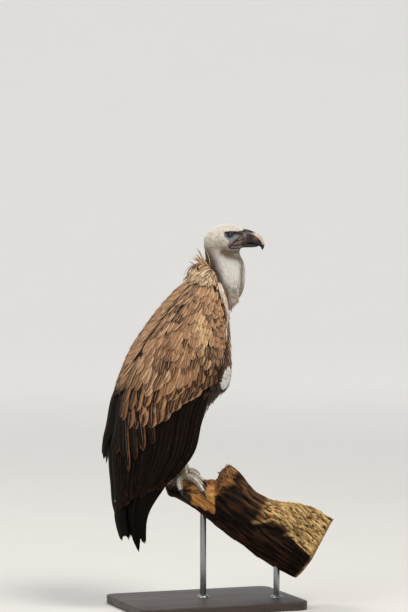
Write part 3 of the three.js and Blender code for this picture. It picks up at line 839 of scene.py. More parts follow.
def secondary_feathers(side, name):
    """The long flight feathers that hang below the coverts."""
    coat = Coat(f"wing_{name}_secondary_feathers")
    count = 24
    place = np.linspace(0, 1, count)
    turn = 10 + 111 * place
    bottom = -52 + 0.62 * turn + RNG.normal(0, 4, count)
    top = covert_tips(turn)[..., 0] + 48
    web = mix(NEAR_BLACK, DARK_VANE, RNG.uniform(0, 0.7, count))
    rim = mix(DARK_VANE, UMBER, RNG.uniform(0.3, 1, count))
    tract(
        coat, side, turn, bottom, top - bottom, RNG.uniform(12, 14.5, count), 28,
        lean=1.5 + 8 * (1 - place), root_depth=6.5, tip_depth=12.3, lift=0.5, outline=FLIGHT_TIP,
        lanes=FLIGHT_LANES, ridge=1.0, crown=0.14, roll=RNG.uniform(0.14, 0.22, count) * side, web=web,
        rim=rim, cells=cell_grid(count, 6),
    )
    return coat


def tertial_feathers(side, name):
    """Long inner feathers, some with rusty edges, loose over the flight feathers."""
    coat = Coat(f"wing_{name}_tertial_feathers")
    turn, tip, reach, half, rust = np.array(TERTIALS[side], float).T
    count = len(turn)
    web = mix(DARK_VANE, NEAR_BLACK, RNG.uniform(0, 0.8, count))
    rim = mix(mix(DARK_VANE, UMBER, RNG.uniform(0, 0.6, count)), RUSTY, rust)
    tract(
        coat, side, turn, tip, reach, half, 24, lean=np.minimum(0.17 * reach, turn - 5), root_depth=4.5,
        tip_depth=RNG.uniform(1, 5, count), lift=TERTIAL_LIFT[side] * RNG.uniform(0.5, 1, count),
        outline=TERTIAL_TIP, lanes=FLIGHT_LANES, ridge=1.1, crown=0.24, roll=TERTIAL_ROLL[side], web=web,
        rim=rim, cells=cell_grid(count, 4),
    )
    return coat


def primary_feathers(side, name):
    """The outermost flight feathers, whose pointed tips hang lowest."""
    coat = Coat(f"wing_{name}_primary_feathers")
    bottom = np.array(PRIMARY_TIPS, float)
    count = len(bottom)
    place = np.linspace(0, 1, count)
    turn = 69 + 54 * place
    bottom = bottom + RNG.normal(0, 2, count) + 24 * (side > 0) * (1 - ease(72, 96, turn))
    top = 90 + 0.5 * turn
    web = mix(NEAR_BLACK, DARK_VANE, 0.4 * RNG.uniform(0, 1, count))
    rim = mix(NEAR_BLACK, DARK_VANE, RNG.uniform(0.2, 0.9, count))
    tract(
        coat, side, turn, bottom, top - bottom, RNG.uniform(10, 12, count), 30, root_depth=15.0,
        tip_depth=20.6, lift=4 * place**3, outline=PRIMARY_TIP, lanes=FLIGHT_LANES, ridge=1.1, crown=0.16,
        roll=0.16 * side, web=web, rim=rim, cells=cell_grid(count, 3),
    )
    return coat


def feather_rows(heights, turns, shift, stray):
    """Turns and heights of the tips in rows of feathers, with every second row shifted."""
    for index, height in enumerate(heights):
        turn = turns + shift * (index % 2) + RNG.normal(0, stray, len(turns))
        yield turn, height + RNG.normal(0, 5, len(turns))


def back_feathers():
    """The strip down the middle of the back, against the left wing, with the gap beside the right and the
    strip's lower end painted near black as shade.
    """
    coat = Coat("back_feathers")
    for turn, up in feather_rows(np.arange(246, 524, 12.0), np.linspace(-19, 7, 11), 1.2, 0.6):
        count = len(turn)
        # Painted shade: near black in the gap beside the right wing and low on the back.
        gap = 1 - ease(-9.5, -7.5, turn)
        dark = np.maximum(gap, 1 - ease(240, 280, up))
        web = mix(mix(TAN, PALE_TAN, RNG.uniform(0, 0.5, count)), NEAR_BLACK, 0.94 * dark)
        rim = mix(mix(TAN, PALE_TAN, RNG.uniform(0.2, 1, count)), NEAR_BLACK, 0.94 * dark)
        tract(
            coat, 1, turn, up, RNG.uniform(34, 46, count), RNG.uniform(4.5, 6.5, count), 8,
            root_depth=9.0, tip_depth=0.5 + 8 * gap, lift=RNG.uniform(0, 2, count), outline=LANCE_TIP,
            ridge=0.6, crown=0.16, web=web, rim=rim,
        )
    return coat


def breast_feathers():
    """Breast, belly and flanks, from one wing's leading edge round to the other's."""
    coat = Coat("breast_feathers")
    for turn, up in feather_rows(np.arange(172, 494, 13.0), np.linspace(119, 241, 17), 3.6, 1.2):
        middle = np.abs(turn - 180)
        kept = up < 488 - 26 * ease(38, 58, middle)
        turn, up, middle = turn[kept], up[kept], middle[kept]
        count = len(turn)
        # Near black low down and on the flanks: partly the belly's own dark brown and partly painted shade
        # under the body and along the sides.
        low = 1 - ease(250, 370, up)
        flank = ease(34, 48, middle) * (1 - ease(440, 480, up))
        dark = np.clip(np.maximum(low, 0.85 * flank), 0, 0.95)
        web = mix(mix(WARM_BROWN, UMBER, RNG.uniform(0.1, 1, count)), NEAR_BLACK, 0.85 * dark)
        rim = mix(mix(TAN, PALE_TAN, RNG.uniform(0, 0.8, count)), DARK_VANE, 0.9 * dark)
        tuck = 26 * (1 - ease(172, 250, up))
        tract(
            coat, 1, turn, up, RNG.uniform(32, 46, count), RNG.uniform(5.5, 8, count), 8,
            lean=RNG.normal(0, 2, count), root_depth=9.0 + 0.5 * tuck, tip_depth=2.5 + tuck,
            lift=RNG.uniform(0, 2.5, count), outline=LANCE_TIP, ridge=0.6, crown=0.16, web=web, rim=rim,
        )
    return coat


def edge_down():
    """Pale feathers along each wing's leading edge, and white down where it meets the flank."""
    coat = Coat("wing_edge_down")
    for side in (1, -1):
        up = RNG.uniform(383, 507, 280)
        up = up[(up > 430) | (RNG.uniform(0, 1, len(up)) < 0.4)]
        turn = read(EDGE_STRIP, up) + RNG.normal(0, 2.2, len(up))
        buff = mix(RUFF_BUFF, WARM_BROWN, RNG.uniform(0, 0.6, len(up)))
        tones = mix(DOWN_WHITE, buff, RNG.uniform(0, 1, len(up)))
        place = RNG.uniform(-1, 1, FLANK_PATCH["tufts"])
        high = FLANK_PATCH["high"] * place
        wide = FLANK_PATCH["wide"] * np.sqrt(1 - place**2) * RNG.uniform(-1, 1, len(place))
        turn = np.concatenate([turn, FLANK_PATCH["turn"] + FLANK_PATCH["slant"] * high + wide])
        up = np.concatenate([up, FLANK_PATCH["up"] + high])
        tones = np.concatenate([tones, np.broadcast_to(DOWN_WHITE, (len(place), 3))])
        count = len(up)
        reach = np.where(up > 350, 22, 14) * RNG.uniform(0.7, 1.2, count)
        tract(
            coat, side, turn, up, reach, RNG.uniform(1.0, 2.2, count), 5, lean=RNG.normal(0, 2, count),
            root_depth=5.0, tip_depth=RNG.uniform(-1.5, 1.5, count), lift=RNG.uniform(0, 2.5, count),
            outline=DOWN_TIP, web=tones, rim=tones,
        )
    return coat


def tail_feathers():
    """Twelve long feathers, the middle pair outermost."""
    coat = Coat("tail_feathers")
    count, rows = 12, 26
    place = np.linspace(-1, 1, count)[:, None]
    t = np.linspace(0, 1, rows)[None, :]
    bottom = -120 + 14 * place**2 + RNG.normal(0, 2.5, count)[:, None]
    up = TAIL_ROOT + (bottom - TAIL_ROOT) * t
    aside = place * (26 + 11 * t**0.6) * 0.72
    back = tail_at(up)[..., 0] + 12 * (aside / 37) ** 2 + 3.0 * np.abs(place) - 3
    out = np.stack([-np.ones_like(up), 0.35 * place + 0 * up, 0 * up], -1)
    web = mix(NEAR_BLACK, DARK_VANE, 0.6 * RNG.uniform(0, 1, count))
    coat.add(
        np.stack([back, aside, up], -1), out, outlined(np.full(count, 13.5), FLIGHT_TIP, rows), web,
        mix(web, DARK_VANE, 0.6), cell_grid(count, 4), lanes=(-1, -0.5, -0.07, 0, 0.07, 0.5, 1), ridge=1.1,
        crown=0.1,
    )
    return coat


def ruff_ring(turn):
    """Height on the neck where the ruff begins, by the turn from the throat."""
    return read(RUFF_RING, (1 - np.cos(turn)) / 2)


def ruff_cells(turn, height):
    return cell_at(inset(turn / (2 * math.pi) % 1), np.full(len(turn), height))


def ruff_feathers():
    """Long narrow feathers round the foot of the neck, loosest and highest on the nape."""
    coat = Coat("ruff_feathers")
    for layer in RUFF_LAYERS:
        ruff_layer(coat, *layer)
    for side in (1, -1):
        ruff_over_body(coat, side)
    ruff_spikes(coat)
    return coat


def ruff_layer(coat, reach, count, middle, spread, stand):
    """Feathers that rise from the neck and curl over, on the side of the nape."""
    rows = 10
    t = np.linspace(0, 1, rows)[None, :]
    turn = (middle + spread * np.linspace(-1, 1, count) + RNG.normal(0, 0.06, count))[:, None]
    turn = turn[(1 - np.cos(turn[:, 0])) / 2 > RUFF_START]
    nape = (1 - np.cos(turn)) / 2
    count = len(turn)
    start = 168 + RNG.normal(0, 9, count)[:, None]
    end = stand + RNG.normal(0, 30, count)[:, None] * (0.4 + 0.6 * nape)
    sweep = np.radians(start + (end - start) * t**0.75)
    flare = RNG.uniform(-0.1, 0.6, count)[:, None] * (0.25 + 0.75 * nape)
    size = reach * RNG.uniform(0.72, 1.22, count)[:, None] * (0.6 + 0.4 * t + flare * t**2)
    out = size * np.cos(sweep)
    rise = 0.66 * size * np.sin(sweep) * (15 + 20 * nape)
    turns = turn + RNG.normal(0, 0.2, count)[:, None] * t**1.5
    foot = ruff_ring(turn) - 22
    ahead = RUFF_MIDDLE + (44 + out * (8 + 24 * nape)) * np.cos(turns)
    aside = (45 + out * (14 + 12 * nape)) * np.sin(turns)
    spine = on_head(ahead, aside, foot + rise)
    outwards = unit(spine - on_head(RUFF_MIDDLE + 44 * np.cos(turns), 45 * np.sin(turns), foot))
    outwards = squared_to(unit(np.gradient(spine, axis=1)), outwards) + 0.3 * RNG.normal(0, 1, (count, 1, 3))
    half = outlined(RNG.uniform(1.8, 3.6, count), LANCE_TIP, rows)
    web, rim = ruff_colours(count)
    cells = ruff_cells(turn[:, 0], 0.1 + 0.25 * reach)
    coat.add(spine, outwards, half, web, rim, cells, ridge=0.6, crown=0.25)


def ruff_over_body(coat, side):
    """Plumes that hang from the neck over one shoulder and the back."""
    turn = RNG.uniform(-2, 110, PLUMES)
    rise = np.sort(RNG.uniform(0, 1, PLUMES))
    tip = on_body(side, turn, read(RUFF_HEM, turn) + 34 * rise, -2 - 5 * rise)
    ahead, aside, _ = head_axes(tip)
    round_neck = np.arctan2(aside, ahead - RUFF_MIDDLE)
    round_neck = round_neck - side * (RNG.normal(0, 0.12, PLUMES) - 0.3 * ease(55, 100, turn))
    height = ruff_ring(round_neck) + RNG.uniform(-14, 0, PLUMES)
    root = on_head(RUFF_MIDDLE + 36 * np.cos(round_neck), 37 * np.sin(round_neck), height)
    bend = (root + tip) / 2 + np.outer(RNG.uniform(6, 22, PLUMES), (0, 0, 1))
    near = np.linalg.norm(tip - root, axis=1) < PLUME_REACH
    plumes(coat, root[near], bend[near], tip[near], RNG.uniform(2.2, 4.4, near.sum()))


def ruff_spikes(coat):
    """A few thin feathers that stick out behind the nape."""
    round_neck = math.pi + np.clip(RNG.normal(0, 0.5, SPIKES), -0.8, 0.7)
    height = RNG.uniform(552, 572, SPIKES)
    root = on_head(RUFF_MIDDLE + 37 * np.cos(round_neck), 37 * np.sin(round_neck), height)
    aim = np.radians(RNG.uniform(22, 78, SPIKES))
    way = headed(-np.cos(aim), RNG.normal(0, 0.25, SPIKES), np.sin(aim))
    tip = root + way * RNG.uniform(24, 58, SPIKES)[:, None]
    bend = (root + tip) / 2 + RNG.normal(0, 2, (SPIKES, 3))
    plumes(coat, root, bend, tip, RNG.uniform(0.8, 1.7, SPIKES))


def plumes(coat, root, bend, tip, half):
    """Ruff feathers that arch from their roots past a bend to their tips."""
    rows = 10
    t = np.linspace(0, 1, rows)[None, :, None]
    spine = (1 - t) ** 2 * root[:, None] + 2 * t * (1 - t) * bend[:, None] + t**2 * tip[:, None]
    ahead, aside, _ = head_axes(spine)
    out = unit(headed(ahead - RUFF_MIDDLE, aside, 0 * ahead))
    out = out + (0, 0, 0.7) + RNG.normal(0, 0.18, (len(root), 1, 3))
    web, rim = ruff_colours(len(root))
    cells = ruff_cells(np.arctan2(aside[:, 0], ahead[:, 0] - RUFF_MIDDLE), 0.8)
    coat.add(spine, out, outlined(half, LANCE_TIP, rows), web, rim, cells, ridge=0.6, crown=0.25)


def ruff_colours(count):
    """Webs and rims of the ruff: buff and cream plumes, with about a third painted dark brown as shade in
    the gaps between them.
    """
    # Painted shade: these plumes stand for the dark gaps between the others.
    sunk = RNG.uniform(0, 1, count) < 0.36
    web = mix(RUFF_BUFF, RUFF_BROWN, np.where(sunk, 0.95, 0.6 * RNG.uniform(0, 1, count) ** 1.3))
    rim = mix(RUFF_BUFF, CROWN_DOWN, RNG.uniform(0, 0.6, count))
    return web, mix(rim, RUFF_BROWN, 0.8 * sunk)


# ---------------------------------------------------------------- skin


def flesh():
    """Head, neck, trunk, legs and toes, overlapping, before they become one skin."""
    shape = from_cad("trunk", "thigh_left", "thigh_right")

    def put_head(along, turn):
        at = HEAD[0][0] + (HEAD[-1][0] - HEAD[0][0]) * along
        low, high, half = np.moveaxis(head_at(at), -1, 0)
        rise = (high - low) / 2 * squared(np.cos(turn), HEAD_SQUARENESS)
        return on_head(at, half * squared(np.sin(turn), HEAD_SQUARENESS), (low + high) / 2 + rise)

    def put_neck(along, turn):
        up = NECK[0][0] + (NECK[-1][0] - NECK[0][0]) * along
        nape, throat, half = np.moveaxis(neck_at(up), -1, 0)
        ahead = (nape + throat) / 2 + (throat - nape) / 2 * squared(np.cos(turn), NECK_SQUARENESS)
        return on_head(ahead, half * squared(np.sin(turn), NECK_SQUARENESS), up)

    rod(shape, 40, 48, put_head)
    rod(shape, 30, 48, put_neck)
    for plan in LEGS.values():
        joint = headed(*plan["joint"])
        ankle = np.array(plan["ankle"], float)
        limb(shape, [ankle + (0, 0, 12), (ankle + joint) / 2, joint], SHANK_RADII, 12, 20)
        for arch, end, _ in plan["toes"]:
            limb(shape, [joint, headed(*arch), headed(*end)], TOE_RADII, 14, 18)
    bmesh.ops.recalc_face_normals(shape, faces=shape.faces)
    return shape


def refine(shape, inside):
    """Splits the faces whose corners all lie inside the region given."""
    place = millimetres([v.co for v in shape.verts])
    chosen = inside(place)
    edges = [e for e in shape.edges if chosen[e.verts[0].index] and chosen[e.verts[1].index]]
    bmesh.ops.subdivide_edges(shape, edges=edges, cuts=1, use_grid_fill=True)
    shape.verts.index_update()


def head_region(place):
    ahead, _, up = along_heading(place)
    return (up > 586) & (ahead > -5)


def face_region(place):
    ahead, _, up = along_heading(place)
    return (up > 608) & (up < 668) & (ahead > 58) & (ahead < 128)


def foot_region(place):
    return (place[:, 2] < 100) & (place[:, 0] > -110)


def make_skin():
    """One skin from bill to toes, lying under the feathers by the depth of the coat."""
    shape = wrapped(flesh(), FLESH_GRAIN)
    for region, rounds in ((head_region, 4), (face_region, 3), (foot_region, 2)):
        refine(shape, region)
        place = millimetres([v.co for v in shape.verts])
        relax(shape, rounds, [v for v, chosen in zip(shape.verts, region(place)) if chosen])
    mesh = finished(shape, "skin")
    place, way = surface_of(mesh)
    breast = ease(215, 260, place[:, 2]) * (1 - ease(455, 478, place[:, 2])) * ease(0.1, 0.6, way[:, 0])
    place = place - way * (read(COAT_DEPTH, place[:, 2]) + BREAST_DEPTH * breast)[:, None]
    place = sculpt(place, way)
    reshape(mesh, place)
    paint(mesh, "Markings and painted light", skin_colours(place))
    return mesh


def wrinkles(ahead, up):
    """Folds of the gape, running back and down from the bill, from -1 to 1."""
    return np.sin(0.9 * ahead + 2.3 * up + 1.4 * np.sin(0.35 * ahead + 0.2 * up))


def opening(ahead, up):
    """Below 1 between the eyelids, rising outwards."""
    across = (ahead - OPENING["ahead"]) / OPENING["long"]
    tilt = OPENING["tilt"] * (ahead - OPENING["ahead"])
    high = (up - OPENING["up"] - tilt) / OPENING["high"]
    return np.sqrt(np.abs(across) ** 2.2 + np.abs(high) ** 2)


def eye_surface(ahead, up):
    """How far aside the eyeball's surface lies."""
    inside = EYE["radius"] ** 2 - (ahead - EYE["ahead"]) ** 2 - (up - EYE["up"]) ** 2
    return EYE["aside"] + np.sqrt(np.maximum(inside, 0.0))


def sculpt(place, way):
    """Brow, eye sockets, mouth, wrinkles, the groove of the throat and the scales of the feet."""
    ahead, aside, up = head_axes(place)
    on_side = ease(7, 14, np.abs(aside)) * (up > 585) * (ahead > 0)
    swell = drawn(ahead, up, HEAD_RELIEF) + 0.5 * spot(ahead, up, (98, 629), (20, 10)) * wrinkles(ahead, up)
    swell = swell + 0.28 * spot(ahead, up, (66, 640), (10, 9)) * np.sin(2.1 * up + 0.7 * ahead)
    groove = -2.6 * ease(478, 500, up) * (1 - ease(585, 600, up))
    groove = groove * np.exp(-(((ahead - 103 + 0.05 * (560 - up)) / 4.5) ** 2)) * ease(8, 16, np.abs(aside))
    place = place + way * (swell * on_side + groove)[:, None]

    ahead, aside, up = head_axes(place)
    far = np.abs(aside)
    around = opening(ahead, up)
    lid = eye_surface(ahead, up) + 0.7
    far = far + (lid - far) * ((1 - ease(1.15, 2.1, around)) * on_side)
    far = np.where((around < 1) & (on_side > 0.5), EYE["aside"] - 4 + 6 * np.maximum(0, around - 0.6), far)
    near_eye = (around < 2.2) & (on_side > 0.2) & (up > 600)
    place = np.where(near_eye[:, None], on_head(ahead, np.sign(aside) * far, up), place)

    low = foot_level(place)
    scales = 0.35 * low * np.sin(2 * math.pi * place[:, 2] / 3.2) * rough(place, (9, 9, 9))
    return place + way * scales[:, None]


def foot_level(place):
    """1 on the bare toes and shanks, 0 on the feathered legs."""
    return (1 - ease(70, 98, place[:, 2])) * (place[:, 0] > -115)


def skin_colours(place):
    """The markings of the skin, with painted shade on head, neck and face, which the feathers and down over
    it share.
    """
    ahead, aside, up = head_axes(place)
    feet = mix(FOOT_GREY, FOOT_DARK, 0.5 + 0.5 * rough(place, (7, 7, 3)))
    return washed(
        UMBER, (NECK_DOWN, ease(440, 500, up)), (down_colours(ahead, up), ease(470, 500, up)),
        (face_colours(ahead, aside, up), face_bare(ahead, aside, up)), (feet, foot_level(place)),
    )


def down_colours(ahead, up):
    """The down of head and neck: cream crown, white neck and a brown nape that is partly painted shade, with
    painted grey shade on the cheeks, under the jaw, in the throat's groove and low on the neck.
    """
    # The nape: darker brown, partly its own colour and partly painted shade.
    nape = (1 - ease(-16, 10, ahead - read(NAPE_EDGE, up))) * (1 - ease(600, 640, up))
    # Painted shade in the groove down the side of the throat.
    throat = np.exp(-(((ahead - 104.5) / 5.5) ** 2)) * ease(478, 500, up) * (1 - ease(580, 600, up))
    # A grey band low on the neck, partly its own grey and partly painted shade.
    low_neck_grey_and_shade = (1 - ease(500, 545, up)) * ease(480, 500, up)
    return washed(
        NECK_DOWN, (CROWN_DOWN, ease(592, 620, up)),
        # Painted shade: grey on the cheek behind the face.
        (GREY_DOWN, 0.75 * spot(ahead, up, (46, 620), (30, 22))),
        # Painted shade: a soft brown patch below the ear and brown strokes along the jaw.
        (BROWN_AND_JAW_SHADE, 0.55 * spot(ahead, up, (66, 617), (9, 8))),
        (BROWN_AND_JAW_SHADE, np.clip(drawn(ahead, up, JAW_SHADE_LINES), 0, 0.94)), (NAPE_BROWN_AND_SHADE, 0.92 * nape),
        (THROAT_GROOVE_SHADE, 0.85 * throat), (GREY_DOWN, 0.6 * low_neck_grey_and_shade),
        # Painted shade where the neck meets the body.
        (mix(GREY_DOWN, BROWN_AND_JAW_SHADE, 0.5), 0.6 * (1 - ease(466, 506, up))),
    )


def face_bare(ahead, aside, up):
    """1 where the face has no down: round the eye, the lores, the gape and the base of the bill."""
    edge = np.minimum(ahead - read(BARE_BEHIND, up), read(FACE_EDGE["above"], ahead) - up)
    edge = np.minimum(edge, up - read(FACE_EDGE["below"], ahead))
    edge = np.where(np.abs(aside) > 5, edge, ahead - 110)
    return ease(-1.2, 1.0, np.maximum(edge, ahead - 114))


def face_colours(ahead, aside, up):
    """Bare skin: blue-grey under the eye, dark lores, pinkish wrinkled gape, dark base of the bill, with
    painted shade under the brow, in the gape's folds and along the jaw.
    """
    blue = np.clip(drawn(ahead, up, EYE_SHADOW), 0, 0.9) * (1 - ease(654, 658, up))
    # Painted shade in the troughs of the gape's wrinkles.
    folds = 0.4 * spot(ahead, up, (96, 629), (18, 10)) * np.clip(-wrinkles(ahead, up), 0, 1)
    tone = washed(
        GAPE_SKIN, (CERE_SKIN, ease(98, 112, ahead)),
        (CERE_SKIN, 0.8 * stroke(ahead, up, (92, 655), (112, 648), 8)),
        (CERE_SKIN, 0.7 * spot(ahead, up, (76, 621), (7, 6))),
        (GAPE_SKIN, 0.7 * spot(ahead, up, (114, 651), (5, 7))), (FACE_BLUE, blue),
        (FACE_DARK, np.clip(1.1 * (drawn(ahead, up, FACE_LINES_AND_SHADE) + folds), 0, 1)),
    )
    pores = rough(np.stack([ahead, aside, up], -1), (2.6, 2.6, 2.0), 12)
    return tone * (1 + 0.35 * pores[:, None])


# ---------------------------------------------------------------- down on the skin


def scattered(mesh, inside, cell, most=None):
    """Places on the skin, one in each small cube of space, with the way out of the skin at each."""
    mesh.calc_loop_triangles()
    corners = np.zeros(len(mesh.loop_triangles) * 3, np.int32)
    mesh.loop_triangles.foreach_get("vertices", corners)
    corners = corners.reshape(-1, 3)
    place, way = surface_of(mesh)
    a, b, c = (place[corners[:, k]] for k in range(3))
    size = np.linalg.norm(np.cross(b - a, c - a), axis=1) / 2
    size = size * inside((a + b + c) / 3)
    count = int(size.sum() / cell**2 * 4)
    chosen = RNG.choice(len(corners), count, p=size / size.sum())
    r, s = RNG.uniform(0, 1, (2, count))
    r, s = np.where(r + s > 1, 1 - r, r), np.where(r + s > 1, 1 - s, s)
    share = np.stack([1 - r - s, r, s], -1)
    spots = np.einsum("nk,nkd->nd", share, place[corners[chosen]])
    ways = unit(np.einsum("nk,nkd->nd", share, way[corners[chosen]]))
    _, kept = np.unique(np.floor(spots / cell), axis=0, return_index=True)
    kept = RNG.permutation(kept)[:most]
    return spots[kept], ways[kept]


def tufts(coat, roots, ways, lie, length, half, rise, tones, cells, rows=4, outline=DOWN_TIP):
    """Small tufts from the skin, lying along the way given and lifting a little."""
    lie = squared_to(ways, lie)
    widths = outlined(half, outline, rows)
    t = np.linspace(0, 1, rows)[None, :]
    reach = length[:, None] * t
    height = rise[:, None] * np.sin(np.minimum(t * 1.9, 1.2)) / 0.93 - 0.6 * (t == 0)
    spine = roots[:, None, :] + lie[:, None, :] * reach[..., None] + ways[:, None, :] * height[..., None]
    coat.add(spine, ways[:, None, :], widths, tones, tones, cells, ridge=0.35)


def round_patch(place, middle):
    """Places on the unwrap of head and neck: the turn round a line, and the height."""
    turn = np.arctan2(place[:, 1] - middle[1], place[:, 0] - middle[0])
    return cell_at(inset(turn / (2 * math.pi) + 0.5), inset((place[:, 2] - 430) / 260))


def hanging(spread, count, ahead=0.0):
    """Ways that point down, each turned a little at random."""
    return np.array([ahead, 0, -1.0]) + RNG.normal(0, spread, (count, 3))


def head_down(mesh):
    """Short down, lying back from the bill over the crown and down the nape."""
    coat = Coat("head_down")

    def covered(place):
        ahead, aside, up = head_axes(place)
        return (up > 590) & (ahead > 0) & (face_bare(ahead, aside, up) < 0.5)

    roots, ways = scattered(mesh, covered, 1.72, 9900)
    ahead, _, up = head_axes(roots)
    count = len(roots)
    back = headed(-1.0, 0.0, 0.0) * np.clip((ahead - 10) / 60, 0.1, 1)[:, None]
    lie = back + np.array([0, 0, -1.0]) * np.clip((80 - ahead) / 90, 0.15, 1)[:, None]
    lie = lie + RNG.normal(0, 0.13, lie.shape)
    long = 4.4 + 2.2 * (1 - ease(600, 640, up))
    tones = down_colours(ahead, up) * RNG.uniform(0.84, 1.07, (count, 1))
    streaky = np.clip(1.6 * rough(roots, (8, 8, 5), 11), 0, 1) * (1 - ease(640, 665, up))
    tones = mix(tones, mix(GREY_DOWN, BROWN_AND_JAW_SHADE, 0.45), 0.5 * streaky)
    tufts(
        coat, roots, ways, lie, long * RNG.uniform(0.8, 1.2, count), RNG.uniform(0.5, 0.95, count),
        RNG.uniform(0.4, 1.0, count), np.clip(tones, 0, 1), round_patch(roots, on_head(60, 0, 0)), rows=3,
    )
    return coat


def neck_down(mesh):
    """Thick woolly down on the neck."""
    coat = Coat("neck_down")

    def covered(place):
        ahead, aside, up = head_axes(place)
        reach = 56 + 30 * (1 - ease(500, 520, up))
        return (up > 452) & (up < 598) & (ahead > 4) & (np.hypot(ahead - 72, aside) < reach)

    roots, ways = scattered(mesh, covered, 2.2, 9900)
    ahead, _, up = head_axes(roots)
    count = len(roots)
    lie = hanging(0.2, count)
    fleck = np.clip(3 * rough(roots, (5, 5, 9), 5), 0, 1) * (1 - ease(510, 560, up))
    tones = mix(down_colours(ahead, up), mix(GREY_DOWN, BROWN_AND_JAW_SHADE, 0.4), 0.75 * fleck)
    tones = tones * RNG.uniform(0.9, 1.04, (count, 1))
    full = 1 - 0.4 * ease(560, 598, up)
    tufts(
        coat, roots, ways, lie, full * RNG.uniform(7, 11, count), full * RNG.uniform(0.9, 1.5, count),
        RNG.uniform(1.2, 2.8, count), np.clip(tones, 0, 1), round_patch(roots, on_head(70, 0, 0)), rows=3,
    )
    return coat


def crop_feathers(mesh):
    """Loose wisps that hang from the foot of the neck over the breast."""
    coat = Coat("crop_feathers")

    def covered(place):
        ahead, aside, up = head_axes(place)
        return (up > 454) & (up < 496) & (ahead > 66) & (np.abs(aside) < 42)

    roots, ways = scattered(mesh, covered, 4.6, 700)
    count = len(roots)
    lie = hanging(0.22, count, ahead=-0.1)
    tones = mix(BROWN_AND_JAW_SHADE, RUFF_BUFF, RNG.uniform(0, 0.7, count))
    tones = mix(tones, NECK_DOWN, 0.7 * ease(474, 494, roots[:, 2]) * RNG.uniform(0.3, 1, count))
    tufts(
        coat, roots, ways, lie, RNG.uniform(16, 34, count), RNG.uniform(1.1, 2.0, count),
        RNG.uniform(2.0, 6.0, count), tones, round_patch(roots, on_head(70, 0, 0)), rows=7,
    )
    return coat


def leg_feathers(mesh):
    """Loose dark feathers on belly and thighs, partly painted shade, paler tufts where they end over the
    shanks.
    """
    coat = Coat("leg_feathers")

    def covered(place):
        front, _, up = place.T
        return (up > 92) & (up < 300) & (front > -165) & (front < 40)

    roots, ways = scattered(mesh, covered, 7.5)
    up = roots[:, 2]
    count = len(roots)
    lie = hanging(0.12, count, ahead=0.05)
    # Near black to umber: partly the thighs' own dark brown and partly painted shade under the body.
    tones = mix(NEAR_BLACK, UMBER, 0.6 * RNG.uniform(0, 1, count))
    tones = mix(tones, FOOT_GREY, 0.8 * (1 - ease(96, 120, up)))
    tufts(
        coat, roots, ways, lie, RNG.uniform(20, 32, count) * (0.7 + 0.3 * ease(100, 150, up)),
        RNG.uniform(2.4, 4.0, count), RNG.uniform(1.5, 4.0, count), tones,
        cell_at(inset((roots[:, 1] + 60) / 120 % 1), inset((up - 90) / 220)), rows=6,
    )
    return coat


def foot_scales(mesh):
    """Broad plates over the tops of the toes and shanks, and small scales round their sides, painted darker
    as shade where they face down.
    """
    coat = Coat("foot_scales")
    for plan in LEGS.values():
        joint = headed(*plan["joint"])
        ankle = np.array(plan["ankle"], float)
        for arch, end, _ in plan["toes"]:
            arch, end = headed(*arch), headed(*end)
            scutes(coat, [joint, arch, end], TOE_RADII, arch - (joint + end) / 2 + (0, 0, 4))
        scutes(coat, [ankle, (ankle + joint) / 2, joint], SHANK_RADII, headed(1.0, 0.0, 0.4))

    def covered(place):
        return (place[:, 2] < 92) & (place[:, 0] > -110)

    roots, ways = scattered(mesh, covered, 2.0)
    count = len(roots)
    lie = hanging(0.15, count, ahead=0.2)
    # Painted shade on the scales that face down.
    under = ease(0.45, -0.4, ways[:, 2])
    tones = mix(FOOT_GREY, FOOT_DARK, np.clip(RNG.uniform(0, 0.6, count) + 0.75 * under, 0, 1))
    tufts(
        coat, roots, ways, lie, np.full(count, 2.5), RNG.uniform(0.9, 1.2, count), np.full(count, 0.1),
        tones, cell_at(inset((roots[:, 0] + 110) / 160), 0.1 + 0.6 * (roots[:, 2] + 40) / 140),
        outline=SCALE_TIP,
    )
    return coat


def scutes(coat, points, radii, top):
    """A row of plates along the upper side of a toe or shank, paled toward white as a painted highlight,
    with dark rims as painted shade between them.
    """
    path = path_through(points)
    long = np.linalg.norm(np.diff(points, axis=0), axis=1).sum()
    count = int(long / SCUTE_LENGTH)
    along = np.linspace(0.2, 0.93, count)[:, None] + np.linspace(-0.5, 0.85, 4) * SCUTE_LENGTH / long
    radius = between(radii)(along)[..., 0]
    # Painted highlight on the plates, painted shade on their rims.
    web = mix(FOOT_GREY, DOWN_WHITE, RNG.uniform(0.2, 0.8, count))
    coat.add(
        path(along)[0], top, radius * np.array([0.74, 0.8, 0.78, 0.6]), web, mix(web, FOOT_DARK, 0.8),
        cell_at(along[:, 0], np.full(count, 0.9)), lanes=(-1, -0.65, -0.3, 0, 0.3, 0.65, 1), crown=0.5,
        lift=radius - 0.1 + np.array([-0.5, 0.35, 0.5, 0.3]),
    )


# ---------------------------------------------------------------- bill, eyes, claws


def bill_put(rows, squareness):
    """Where a bill's surface lies: narrower above, with a cutting edge low on its sides."""
    share = np.linspace(0, 1, len(rows))
    path = between(np.column_stack([share, np.array(rows)[:, :2]]))
    size = between(np.column_stack([share, np.array(rows)[:, 2:]]))

    def put(along, turn):
        middle = path(along)
        run = unit(path(along + 0.01) - path(along - 0.01))
        high, wide = np.moveaxis(size(along), -1, 0)
        top = np.cos(turn)
        edge = np.exp(-(((top + 0.72) / 0.2) ** 2)) * (along < 0.75)
        wide = wide * (1 - 0.16 * np.maximum(0, top) ** 2) * (1 + 0.05 * edge)
        out = high * squared(top, squareness)
        across = wide * squared(np.sin(turn), squareness)
        return on_head(middle[:, 0] - run[:, 1] * out, across, middle[:, 1] + run[:, 0] * out)

    return put


